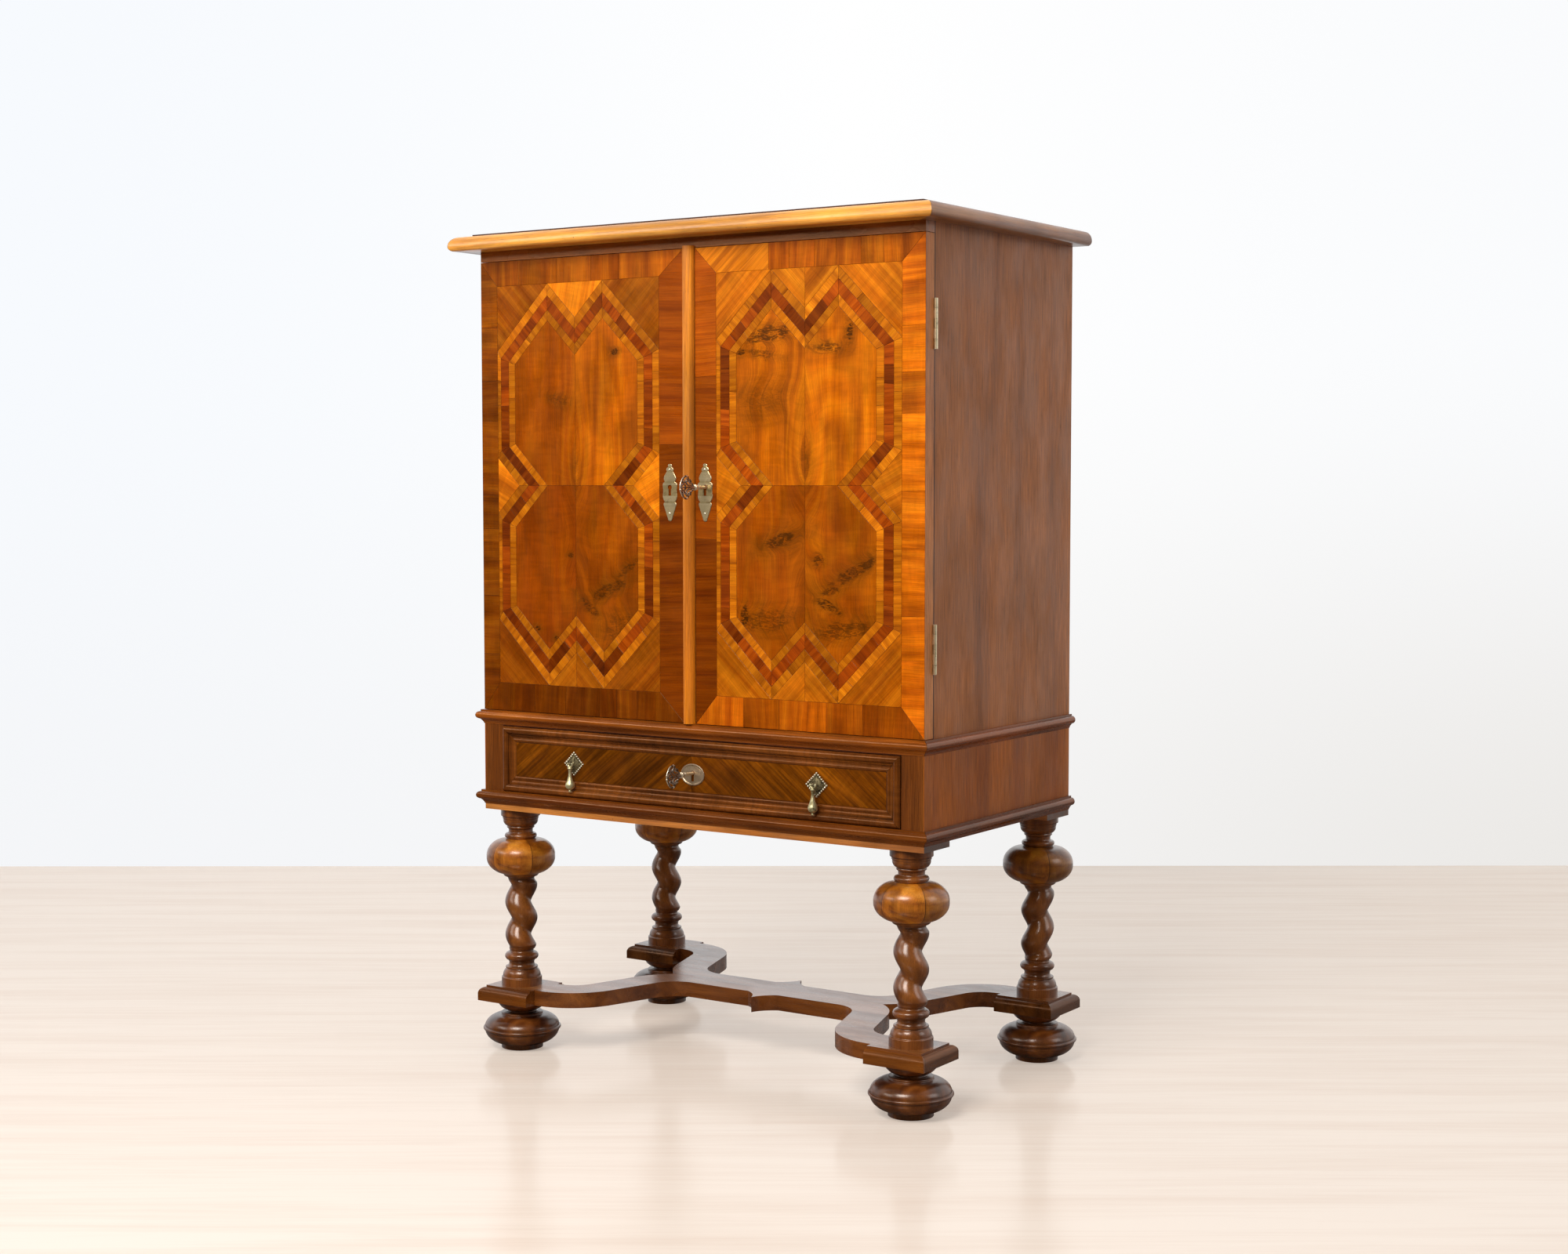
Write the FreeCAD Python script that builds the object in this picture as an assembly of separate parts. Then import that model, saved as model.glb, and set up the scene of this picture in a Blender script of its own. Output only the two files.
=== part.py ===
import FreeCAD, Part
import math
import os

# Cabinet on stand: a two-door cupboard on a frame with one drawer, four turned legs and a flat stretcher.
# Millimetres. X is the width, Y runs from the front to the back, Z is up and the floor is at 0.
# The origin is midway between the bows of the keys in front and the back feet behind.

# Overall sizes
case_width = 938.4
case_depth = 518.6
key_reach = 74.7
foot_radius = 72.0
front_leg_inset = 42.3
back_leg_inset = 24.7
side_leg_inset = 48.4
half_width = case_width / 2.0
overall_depth = key_reach + case_depth + foot_radius - back_leg_inset
front_y = key_reach - overall_depth / 2.0
back_y = front_y + case_depth
board = 22.0
case_back_board = 12.0
frieze_back_board = 18.0

# Heights of the pieces, from the floor up
foot_height = 90.0
platform_height = 28.0
leg_height = 330.0
batten_height = 10.0
floor_board_height = 18.0
drawer_rail_height = 8.2
drawer_rail_gap = 0.6
drawer_height = 119.2
drawer_top_gap = 1.2
dust_board_height = 7.4
case_floor_height = 20.0
door_bottom_gap = 0.7
door_height = 817.1
door_top_gap = 0.8
top_rail_height = 18.3
cornice_height = 26.0
raised_top_height = 4.5
moulding_height = 26.0

# Levels
platform_bottom = foot_height
platform_top = platform_bottom + platform_height
leg_top = platform_top + leg_height
batten_top = leg_top + batten_height
floor_board_top = batten_top + floor_board_height
drawer_rail_top = floor_board_top + drawer_rail_height
drawer_bottom = drawer_rail_top + drawer_rail_gap
drawer_top = drawer_bottom + drawer_height
dust_board_bottom = drawer_top + drawer_top_gap
dust_board_top = dust_board_bottom + dust_board_height
case_floor = dust_board_top + case_floor_height
door_bottom = case_floor + door_bottom_gap
door_top = door_bottom + door_height
top_rail_bottom = door_top + door_top_gap
cornice_bottom = top_rail_bottom + top_rail_height
cornice_top = cornice_bottom + cornice_height
overall_height = cornice_top + raised_top_height

# Top
cornice_depth = 60.0
cornice_side_overhang = 38.0
cornice_front_overhang = 47.7
raised_side_overhang = 4.8
raised_front_overhang = 17.1

# Shelves
shelf_thickness = 18.0
shelf_heights = [255.4, 543.4]
shelf_front = front_y + 60.0
ledger_height = 20.0
ledger_width = 14.0

# Doors
door_thickness = 27.2
door_to_case = 0.4
meeting_gap = 0.8
strip_half_width = 12.0
strip_height = 11.0
strip_bottom = door_bottom - 0.3
strip_top = door_top + 4.0
door_back = front_y + door_thickness
case_front = door_back + door_to_case
hinge_radius = 3.0
hinge_pin_radius = 1.4
hinge_fit = 0.05
hinge_stand_off = 0.3
hinge_length = 82.0
hinge_above_door_bottom = 104.5
hinge_below_door_top = 103.7
hinge_bottoms = [door_bottom + hinge_above_door_bottom, door_top - hinge_below_door_top - hinge_length]
hinge_axis_y = front_y + door_thickness + door_to_case / 2.0
hinge_axis_x = half_width + hinge_radius + hinge_stand_off
knuckles = 5
knuckle_gap = 0.3
leaf_thickness = 1.5
leaf_width = 22.0

# Stand
stile_width = 43.5
dust_opening = half_width - stile_width
batten_depth = 83.8
leg_x = half_width - side_leg_inset
leg_front_y = front_y + front_leg_inset
leg_back_y = back_y - back_leg_inset
leg_spacing_y = leg_back_y - leg_front_y
centre_y = (leg_front_y + leg_back_y) / 2.0
tenon_radius = 12.0
top_tenon = 18.0
foot_tenon = 12.0
upper_turning = 130.0
lower_turning = 66.0
twist_top = leg_top - upper_turning
twist_bottom = platform_top + lower_turning
twist_radius = 23.8
twist_offset = 5.8
twist_pitch = 61.6
twist_steps = 13
twist_ease = 9.0
twist_level = twist_top - 15.0
twist_turn = 33.75
foot_neck = 26.6
foot_pad = 9.0

# Stretcher
plinth_half = 46.5
plinth_edge = 11.5
plinth_edge_height = 24.5
arm_half = 33.0
bar_half = 45.0
bar_joint_setback = 15.0
bend_in_radius = 91.0
bend_out_radius = 82.0
bend_angle = 72.0
arm_end = 7.7
bracket_half = 33.0
bracket_reach = 83.0

# Drawer
drawer_side_gap = 1.3
drawer_half = dust_opening - drawer_side_gap
drawer_front_thickness = 21.0
panel_setback = 3.0
panel_frame = 28.5
drawer_box_half = drawer_half - 2.0
drawer_side_thickness = 10.2
drawer_back_gap = 36.6
drawer_front_back = front_y + panel_setback + drawer_front_thickness
drawer_end = back_y - frieze_back_board - drawer_back_gap
drawer_side_top = drawer_top - 14.0
drawer_bottom_board = 7.0
drawer_bottom_board_z = drawer_bottom + 4.2
drawer_back_board = 10.0
drawer_gap = 0.4
runner_width = 17.4
guide_height = 28.0
guide_gap = 0.5
stop_length = 18.0

# Locks and keys
lock_x = 34.0
lock_z = door_bottom + 408.7
drawer_lock_x = 3.5
drawer_lock_z = drawer_bottom + 61.7
drawer_lock_half = 29.0
drawer_lock_height = 68.0
drawer_lock_below_top = 12.0
drawer_bolt_half = 8.0
left_plate_x = -41.0
key_shaft = 3.0
key_pilot = 2.0
pilot_fit = 0.06
key_bit_half = 1.3
key_bit_reach = 12.6
key_bow_length = 43.0
key_bow_height = 42.0
key_bow_thickness = 4.4
keyhole_radius = key_shaft + 1.4
keyhole_slot = key_bit_half + 1.3
keyhole_drop = key_bit_reach + 0.9
bolt_height = 12.0
bolt_thickness = 6.0
slot_play = 0.15
mortise_play = 0.6
lock_case_near = strip_half_width + meeting_gap + 0.6
lock_case_far = lock_x + 46.0
slide_bolt_x = -26.0
slide_bolt_radius = 3.0
slide_bolt_travel = 12.0
slide_bolt_length = 94.1
slide_bolt_setback = 0.9
staple_height = 7.0
staple_setbacks = [12.0, 72.0]

# Drop handles
handle_x = 260.0
handle_z = drawer_bottom + 61.2
handle_y = front_y - 10.0
handle_plate_half = 22.5
drop_pin = 1.5
drop_fit = 0.05
drop_ring = 5.2
drop_ring_wire = 1.7
drop_length = 45.1
eye_radius = drop_ring - drop_ring_wire - 0.9
eye_half_width = 1.8

# Larger than the whole piece, for cutting tools
beyond = 2500.0

os.makedirs("parts", exist_ok=True)


def vec(x, y, z):
    return FreeCAD.Vector(x, y, z)


def box(x0, x1, y0, y1, z0, z1):
    return Part.makeBox(x1 - x0, y1 - y0, z1 - z0, vec(x0, y0, z0))


def rod(radius, start, end):
    along = end - start
    return Part.makeCylinder(radius, along.Length, start, along)


def wire(start, steps, place):
    # A step of two numbers is a line, of four an arc through a point to an end, and a list is a curve.
    edges = []
    here = place(*start)
    for step in steps:
        if isinstance(step, list):
            points = [here] + [place(a, b) for a, b in step]
            curve = Part.BSplineCurve()
            curve.interpolate(points)
            edges.append(curve.toShape())
            here = points[-1]
        elif len(step) == 4:
            end = place(step[2], step[3])
            edges.append(Part.Arc(here, place(step[0], step[1]), end).toShape())
            here = end
        else:
            end = place(*step)
            edges.append(Part.LineSegment(here, end).toShape())
            here = end
    first = place(*start)
    if (here - first).Length > 1e-6:
        edges.append(Part.LineSegment(here, first).toShape())
    return Part.Wire(edges)


def slab(start, steps, place, along):
    return Part.Face(wire(start, steps, place)).extrude(along)


def turned(start, steps, x, y, level):
    # The outline is given as radius, and height over the level.
    outline = wire(start, steps, lambda r, z: vec(x + r, y, level + z))
    return Part.Face(outline).revolve(vec(x, y, 0), vec(0, 0, 1), 360)


def mirrored(shape):
    return shape.mirror(vec(0, 0, 0), vec(1, 0, 0))


def save(name, solids):
    shape = solids[0] if len(solids) == 1 else Part.makeCompound(solids)
    shape.exportStep("parts/" + name + ".step")
    print(name, "solids", len(shape.Solids), "valid", shape.isValid())


# Mouldings: lengths with mitred ends

def mitre_cutter(corner, outward):
    # A block that covers everything past the 45 degree plane through a vertical line at the corner.
    block = Part.makeBox(beyond, 2 * beyond, 2 * beyond, vec(0, -beyond, -beyond))
    block.rotate(vec(0, 0, 0), vec(0, 0, 1), outward)
    block.translate(corner)
    return block


def front_length(profile_start, profile, reach, face_y):
    # The profile is given as distance out from the face, and height. Both ends are mitred at the reach.
    length = slab(profile_start, profile,
                  lambda p, z: vec(-reach - 100, face_y - p, z), vec(2 * reach + 200, 0, 0))
    right = mitre_cutter(vec(reach, face_y, 0), 45)
    left = mitre_cutter(vec(-reach, face_y, 0), 135)
    return length.cut(right).cut(left)


def side_length(profile_start, profile, reach, face_y):
    depth = back_y - face_y
    length = slab(profile_start, profile,
                  lambda p, z: vec(reach + p, face_y - 100, z), vec(0, depth + 100, 0))
    front = mitre_cutter(vec(reach, face_y, 0), 225)
    return length.cut(front)


def three_sided(profile_start, profile, reach, face_y):
    right = side_length(profile_start, profile, reach, face_y)
    return [front_length(profile_start, profile, reach, face_y), right, mirrored(right)]


def make_cornice():
    # A broad half-round: full above the nose and tight below it.
    start = (-cornice_depth, cornice_bottom)
    profile = [
        (-6.8, cornice_bottom),
        (-1.9, cornice_bottom + 2.9, 0, cornice_bottom + 10.3),
        (-4.6, cornice_top - 5.3, -17.5, cornice_top),
        (-cornice_depth, cornice_top),
    ]
    return three_sided(start, profile, half_width + cornice_side_overhang, front_y - cornice_front_overhang)


def stand_moulding(top):
    # A fillet, a torus and a small cove below it.
    return (0, top), [
        (5.4, top),
        (5.4, top - 3.2),
        (12.6, top - 10.2, 7.6, top - 16.9),
        (6.4, top - 17.2),
        (3.0, top - 21.0, 0.8, top - moulding_height + 0.4),
        (0, top - moulding_height),
    ]


def make_waist_moulding():
    start, profile = stand_moulding(case_floor)
    return three_sided(start, profile, half_width, front_y)


def make_base_moulding():
    start, profile = stand_moulding(batten_top + moulding_height)
    return three_sided(start, profile, half_width, front_y)


# Case

def make_raised_top():
    side = half_width + raised_side_overhang
    return box(-side, side, front_y - raised_front_overhang, back_y, cornice_top, overall_height)


def make_case_top():
    inner = half_width + cornice_side_overhang - cornice_depth
    return box(-inner, inner,
               front_y - cornice_front_overhang + cornice_depth, back_y, cornice_bottom, cornice_top)


def hinge_mortises(y0, y1):
    cuts = []
    for bottom in hinge_bottoms:
        cuts.append(box(half_width - leaf_width, half_width + 5, y0, y1, bottom, bottom + hinge_length))
    return cuts


def make_case_side():
    side = box(half_width - board, half_width, case_front, back_y, case_floor, cornice_bottom)
    for cut in hinge_mortises(case_front - 1, case_front + leaf_thickness):
        side = side.cut(cut)
    return side


def make_case_floor():
    floor = box(-half_width, half_width, front_y, back_y, dust_board_top, case_floor)
    return floor.cut(slide_bolt_mortise(case_floor - slide_bolt_travel - 2, case_floor + 1))


def slide_bolt_y():
    return door_back + 6.0


def slide_bolt_mortise(z0, z1):
    half = slide_bolt_radius + mortise_play
    y = slide_bolt_y()
    return box(slide_bolt_x - half, slide_bolt_x + half, y - half, y + half, z0, z1)


def make_top_rail():
    rail_depth = 45.0
    front = box(-half_width, half_width, front_y, case_front, top_rail_bottom, cornice_bottom)
    inner = half_width - board
    behind = box(-inner, inner, case_front, front_y + rail_depth, top_rail_bottom, cornice_bottom)
    mortise = slide_bolt_mortise(top_rail_bottom - 1, top_rail_bottom + slide_bolt_travel + 2)
    return front.fuse(behind).removeSplitter().cut(mortise)


def make_case_back():
    inner = half_width - board
    return box(-inner, inner, back_y - case_back_board, back_y, case_floor, cornice_bottom)


def shelf_levels():
    return [case_floor + height for height in shelf_heights]


def make_shelves():
    inner = half_width - board
    back = back_y - case_back_board
    return [box(-inner, inner, shelf_front, back, z, z + shelf_thickness) for z in shelf_levels()]


def make_ledgers():
    inner = half_width - board
    ledgers = []
    for z in shelf_levels():
        right = box(inner - ledger_width, inner,
                    shelf_front + 10, back_y - case_back_board, z - ledger_height, z)
        ledgers.append(right)
        ledgers.append(mirrored(right))
    return ledgers


# Stand frame

def make_frieze_side():
    stile = box(dust_opening, half_width, front_y, front_y + board, floor_board_top, dust_board_top)
    side = box(half_width - board, half_width, front_y + board, back_y, floor_board_top, dust_board_top)
    return stile.fuse(side).removeSplitter()


def make_frieze_back():
    inner = half_width - board
    return box(-inner, inner, back_y - frieze_back_board, back_y, floor_board_top, dust_board_top)


def make_dust_board():
    inner = half_width - board
    rail = box(-dust_opening, dust_opening, front_y, front_y + board, dust_board_bottom, dust_board_top)
    board_behind = box(-inner, inner,
                       front_y + board, back_y - frieze_back_board, dust_board_bottom, dust_board_top)
    y0, y1 = drawer_bolt_span()
    half = drawer_bolt_half + 1.0
    mortise = box(drawer_lock_x - half, drawer_lock_x + half, y0 - mortise_play, y1 + mortise_play,
                  dust_board_bottom - 1, dust_board_top + 1)
    return rail.fuse(board_behind).removeSplitter().cut(mortise)


def leg_places():
    return {
        "front_right": (leg_x, leg_front_y),
        "front_left": (-leg_x, leg_front_y),
        "back_right": (leg_x, leg_back_y),
        "back_left": (-leg_x, leg_back_y),
    }


def bore_for_tenons(shape, z0, z1):
    for x, y in leg_places().values():
        shape = shape.cut(rod(tenon_radius, vec(x, y, z0), vec(x, y, z1)))
    return shape


def make_floor_board():
    whole = box(-half_width, half_width, front_y, back_y, batten_top, floor_board_top)
    return bore_for_tenons(whole, batten_top - 1, leg_top + top_tenon)


def make_drawer_rail():
    return box(-dust_opening, dust_opening, front_y, front_y + board, floor_board_top, drawer_rail_top)


def make_batten(y0, y1):
    return bore_for_tenons(box(-half_width, half_width, y0, y1, leg_top, batten_top),
                           leg_top - 1, batten_top + 1)


def make_runner():
    inner = half_width - board
    top = drawer_bottom - drawer_gap
    runner_x = drawer_box_half - runner_width
    guide_x = drawer_box_half + guide_gap
    back = back_y - frieze_back_board
    runner = box(runner_x, inner, front_y + board, back, floor_board_top, top)
    guide = box(guide_x, inner, drawer_front_back + guide_gap, back, top, top + guide_height)
    stop_y = drawer_end + 0.3
    stop = box(runner_x, guide_x, stop_y, stop_y + stop_length, top, top + 18)
    return runner.fuse(guide).fuse(stop).removeSplitter()


# Legs, feet and stretcher

def make_twist(x, y, hand):
    # One strand of rope twist: level circles whose centres go round the leg's axis.
    sections = []
    count = int(twist_steps * (twist_top - twist_bottom) / twist_pitch) + 1
    for i in range(count + 1):
        z = twist_top - (twist_top - twist_bottom) * i / count
        ends = min(twist_top - z, z - twist_bottom) / twist_ease
        ease = min(1.0, ends)
        angle = math.radians(twist_turn + hand * (twist_level - z) / twist_pitch * 360.0)
        away = twist_offset * ease
        centre = vec(x + away * math.cos(angle), y + away * math.sin(angle), z)
        sections.append(Part.Wire(Part.makeCircle(twist_radius, centre, vec(0, 0, 1))))
    return Part.makeLoft(sections, True, False)


def make_leg(x, y, hand):
    upper = turned((0, 0), [
        (36.5, 0),
        (36.5, -13.0),
        (33.0, -15.4),
        (31.8, -23.0, 26.3, -28.7),
        (26.3, -30.8),
        (23.8, -32.0),
        (21.7, -38.5, 26.2, -45.0),
        (27.4, -46.8),
        (29.4, -49.9, 27.6, -53.0),
        (30.6, -54.4),
        [(43.9, -60.0), (53.2, -67.0), (59.1, -74.0), (62.5, -82.0), (63.4, -88.5),
         (62.1, -96.0), (57.8, -104.5), (50.9, -111.5), (41.6, -117.6), (32.9, -121.4)],
        (32.9, -122.8),
        (31.4, -125.4, 26.2, -127.0),
        (24.6, -upper_turning),
        (0, -upper_turning),
    ], x, y, leg_top)
    lower = turned((0, lower_turning), [
        (22.6, lower_turning),
        (21.9, 63.6, 25.0, 61.0),
        (27.2, 59.8),
        (31.0, 53.8, 28.0, 47.6),
        (26.4, 47.0),
        (23.2, 40.8, 26.0, 35.0),
        (28.3, 33.6),
        (28.8, 31.2),
        (33.1, 24.0, 34.8, 15.8),
        (37.2, 14.8),
        (37.4, 0),
        (0, 0),
    ], x, y, platform_top)
    pins = rod(tenon_radius, vec(x, y, leg_top), vec(x, y, leg_top + top_tenon))
    lower_pin = rod(tenon_radius, vec(x, y, platform_bottom - foot_tenon), vec(x, y, platform_top))
    return upper.fuse([make_twist(x, y, hand), lower, pins, lower_pin])


def make_foot(x, y):
    neck = foot_height - foot_neck
    bun = neck - foot_pad

    def low(share):
        return foot_pad + share * bun

    return turned((0, foot_height - foot_tenon), [
        (tenon_radius, foot_height - foot_tenon),
        (tenon_radius, foot_height),
        (45.8, foot_height),
        (41.6, neck + 15.6, 29.9, neck + 6.0),
        (28.6, neck + 5.6),
        (28.2, neck + 2.6, 32.8, neck + 0.6),
        (37.0, neck),
        [(foot_radius - 20.3, low(0.934)), (foot_radius - 11.6, low(0.827)),
         (foot_radius - 5.8, low(0.699)), (foot_radius - 2.8, low(0.579))],
        (foot_radius, low(0.528), foot_radius - 3.0, low(0.478)),
        [(foot_radius - 5.0, low(0.404)), (foot_radius - 11.0, low(0.239)),
         (foot_radius - 20.3, low(0.092)), (foot_radius - 32.0, foot_pad)],
        (foot_radius - 33.6, foot_pad),
        (foot_radius - 33.6, 0),
        (0, 0),
    ], x, y, 0)


def plinth_inner_x():
    return leg_x - plinth_half - plinth_edge


def bend_points():
    # The arm's centre line: out of the bar, round the first bend, straight, and back round to the plinth.
    turn = math.radians(bend_angle)
    sine = math.sin(turn)
    cosine = math.cos(turn)
    arm_y = leg_spacing_y / 2.0
    start_y = bar_half - arm_half
    rise = arm_y - start_y - (bend_in_radius + bend_out_radius) * (1 - cosine)
    straight = rise / sine
    end_x = plinth_inner_x() - arm_end
    start_x = end_x - (bend_in_radius + bend_out_radius) * sine - straight * cosine
    first = (start_x, start_y + bend_in_radius)
    second = (end_x, arm_y - bend_out_radius)
    return first, second, turn


def bar_joint_x():
    return bend_points()[0][0] - bar_joint_setback


def around(centre, radius, angle):
    return centre[0] + radius * math.sin(angle), centre[1] - radius * math.cos(angle)


def make_stretcher_side():
    first, second, turn = bend_points()
    arm_y = leg_spacing_y / 2.0
    inner_x = plinth_inner_x()
    outer_x = leg_x + plinth_half
    tight = bend_in_radius - arm_half
    wide = bend_in_radius + arm_half
    wide_out = bend_out_radius + arm_half
    tight_out = bend_out_radius - arm_half
    crotch = math.acos(first[1] / wide)

    def outer(angle):
        return around(first, tight, angle)

    def inner(angle):
        return around(first, wide, angle)

    def top_outer(angle):
        return around(second, -wide_out, angle)

    def top_inner(angle):
        return around(second, -tight_out, angle)

    back = [
        (first[0], bar_half),
        outer(turn / 2) + outer(turn),
        top_outer(turn),
        top_outer(turn / 2) + top_outer(0),
        (inner_x, arm_y + arm_half),
        (inner_x, arm_y + plinth_half),
        (outer_x, arm_y + plinth_half),
        (outer_x, arm_y - plinth_half),
        (inner_x, arm_y - plinth_half),
        (inner_x, arm_y - arm_half),
        top_inner(0),
        top_inner(turn / 2) + top_inner(turn),
        inner(turn),
        inner((turn + crotch) / 2) + inner(crotch),
    ]
    joint = bar_joint_x()
    half = slab((joint, 0), [(joint, bar_half)] + back,
                lambda a, b: vec(a, centre_y + b, platform_bottom), vec(0, 0, platform_top - platform_bottom))
    other = half.mirror(vec(0, centre_y, 0), vec(0, 1, 0))
    return bore_for_tenons(half.fuse(other).removeSplitter(), platform_bottom - 1, platform_top + 1)


def make_stretcher_bar():
    # Each long side has a pointed bracket with slightly hollow flanks at its middle.
    hollow_x = bracket_half / 2.0 - 3.8
    hollow_y = (bar_half + bracket_reach) / 2.0 - 3.3
    joint = bar_joint_x()
    outline = [
        (joint, -bar_half),
        (joint, bar_half),
        (bracket_half, bar_half),
        (hollow_x, hollow_y, 0, bracket_reach),
        (-hollow_x, hollow_y, -bracket_half, bar_half),
        (-joint, bar_half),
        (-joint, -bar_half),
        (-bracket_half, -bar_half),
        (-hollow_x, -hollow_y, 0, -bracket_reach),
        (hollow_x, -hollow_y, bracket_half, -bar_half),
    ]
    return slab(outline[0], outline[1:], lambda a, b: vec(a, centre_y + b, platform_bottom),
                vec(0, 0, platform_top - platform_bottom))


def plinth_edging(x, y):
    # Quarter-round strips on the front, back and outer sides of one plinth, mitred at the corners.
    top = platform_bottom + plinth_edge_height
    round_start = top - plinth_edge
    bulge = plinth_edge * math.sqrt(0.5)
    start = (0, platform_bottom)
    profile = [
        (plinth_edge, platform_bottom),
        (plinth_edge, round_start),
        (bulge, round_start + bulge, 0, top),
    ]
    side = 1 if x > 0 else -1
    inner = plinth_half + plinth_edge
    outer = slab(start, profile, lambda p, z: vec(x + side * (plinth_half + p), y - 100, z), vec(0, 200, 0))
    strips = []
    for face in (-1, 1):
        strip = slab(start, profile, lambda p, z: vec(x - side * inner, y + face * (plinth_half + p), z),
                     vec(side * 200, 0, 0))
        corner = vec(x + side * plinth_half, y + face * plinth_half, 0)
        turn = math.degrees(math.atan2(-face, side))
        strips.append(strip.cut(mitre_cutter(corner, turn)))
        outer = outer.cut(mitre_cutter(corner, math.degrees(math.atan2(face, -side))))
    return [outer] + strips


# Doors and their fittings

def keyhole(x, z, y0, y1, play):
    radius = keyhole_radius + play
    slot = keyhole_slot + play
    hole = rod(radius, vec(x, y0, z), vec(x, y1, z))
    return hole.fuse(box(x - slot, x + slot, y0, y1, z - keyhole_drop - play, z))


def make_door(x0, x1):
    door = box(x0, x1, front_y, door_back, door_bottom, door_top)
    for cut in hinge_mortises(door_back - leaf_thickness, door_back + 1):
        door = door.cut(cut).cut(mirrored(cut))
    return door


def make_right_door():
    door = make_door(strip_half_width + meeting_gap, half_width)
    return door.cut(keyhole(lock_x, lock_z, front_y - 1, door_back + 1, 0.4))


def make_left_door():
    blind = 9.0
    door = make_door(-half_width, strip_half_width)
    return door.cut(keyhole(left_plate_x, lock_z, front_y - 1, front_y + blind, 0.4))


def make_astragal():
    flat = 2.0
    return slab((-strip_half_width, 0), [
        (-strip_half_width, flat),
        (0, strip_height, strip_half_width, flat),
        (strip_half_width, 0),
    ], lambda a, h: vec(a, front_y - h, strip_bottom), vec(0, 0, strip_top - strip_bottom))


def make_door_plate(x):
    # A narrow key plate: leaf-shaped ends, a waist above and below a wider middle.
    thickness = 1.6
    right = [
        [(4.8, -52), (8.6, -44), (15.6, -29.4)],
        (10.8, -23.6),
        (14.8, -18.5, 15.6, -9),
        [(16.3, 0), (16.2, 6.5)],
        (10.0, 12.6),
        (13.8, 18.4),
        [(11.6, 26), (8.0, 33), (4.2, 38), (0, 39.4)],
    ]
    left = [
        [(-4.2, 38), (-8.0, 33), (-11.6, 26), (-13.8, 18.4)],
        (-10.0, 12.6),
        (-16.2, 6.5),
        [(-16.3, 0), (-15.6, -9)],
        (-14.8, -18.5, -10.8, -23.6),
        (-15.6, -29.4),
        [(-8.6, -44), (-4.8, -52), (0, -57)],
    ]
    plate = slab((0, -57), right + left,
                 lambda a, b: vec(x + a, front_y - thickness, lock_z + b), vec(0, thickness, 0))
    plate = plate.cut(keyhole(x, lock_z, front_y - 5, front_y + 1, 0))
    for dz in (-43.7, 32.0):
        dome = Part.makeSphere(2.6, vec(x, front_y - thickness + 1.0, lock_z + dz))
        dome = dome.cut(box(x - 5, x + 5, front_y - thickness, front_y + 5, lock_z + dz - 5, lock_z + dz + 5))
        plate = plate.fuse(dome)
    return plate


def hinge_knuckle_spans(bottom, own):
    pitch = hinge_length / knuckles
    spans = []
    for i in range(knuckles):
        if (i % 2 == 0) == own:
            spans.append((bottom + i * pitch + knuckle_gap / 2, bottom + (i + 1) * pitch - knuckle_gap / 2))
    return spans


def hinge_half(bottom, own, y0, y1, bore):
    leaf = box(half_width - leaf_width, half_width - 0.2, y0, y1, bottom, bottom + hinge_length)
    for z0, z1 in hinge_knuckle_spans(bottom, own):
        axis_low = vec(hinge_axis_x, hinge_axis_y, z0)
        axis_high = vec(hinge_axis_x, hinge_axis_y, z1)
        web = box(half_width - 0.2, hinge_axis_x, y0, y1, z0, z1)
        leaf = leaf.fuse(web).fuse(rod(hinge_radius, axis_low, axis_high))
        if bore:
            leaf = leaf.cut(rod(hinge_pin_radius + hinge_fit, axis_low, axis_high))
    return leaf.removeSplitter()


def make_case_hinges():
    hinges = []
    for bottom in hinge_bottoms:
        leaf = hinge_half(bottom, True, case_front, case_front + leaf_thickness, False)
        pin = rod(hinge_pin_radius, vec(hinge_axis_x, hinge_axis_y, bottom + 1),
                  vec(hinge_axis_x, hinge_axis_y, bottom + hinge_length - 1))
        hinges.append(leaf.fuse(pin))
    return hinges


def make_door_hinges():
    return [hinge_half(bottom, False, door_back - leaf_thickness, door_back, True)
            for bottom in hinge_bottoms]


def door_bolt_spans():
    y0 = door_back + 2.2
    z0 = lock_z + key_bit_reach + 1.6
    return y0, y0 + bolt_thickness, z0, z0 + bolt_height


def open_box(x0, x1, y0, y1, z0, z1, wall):
    # A metal case with its open side to the front.
    return box(x0, x1, y0, y1, z0, z1).cut(box(x0 + wall, x1 - wall, y0 - 1, y1 - wall, z0 + wall, z1 - wall))


def make_door_lock():
    wall = 1.5
    y0, y1, z0, z1 = door_bolt_spans()
    case = open_box(lock_case_near, lock_case_far, door_back, door_back + 14, lock_z - 30, z1 + 9.8, wall)
    case = case.cut(box(lock_case_near - 1, lock_case_near + wall + 1, y0 - slot_play, y1 + slot_play,
                        z0 - slot_play, z1 + slot_play))
    pilot = rod(key_pilot + pilot_fit,
                vec(lock_x, door_back + 10, lock_z), vec(lock_x, door_back + 15, lock_z))
    return case.cut(pilot)


def make_door_bolt():
    y0, y1, z0, z1 = door_bolt_spans()
    return box(lock_case_near + 1.0, lock_case_far - 16.0, y0, y1, z0, z1)


def make_keeper():
    wall = 2.0
    room = 0.5
    mouth = strip_half_width - 0.4
    far = mouth - slide_bolt_travel - 7.6
    y0, y1, z0, z1 = door_bolt_spans()
    outer = box(far, mouth, door_back, y1 + room + wall, z0 - room - wall, z1 + room + wall)
    return outer.cut(box(far + wall, mouth + 1, door_back - 1, y1 + room, z0 - room, z1 + room))


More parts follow.
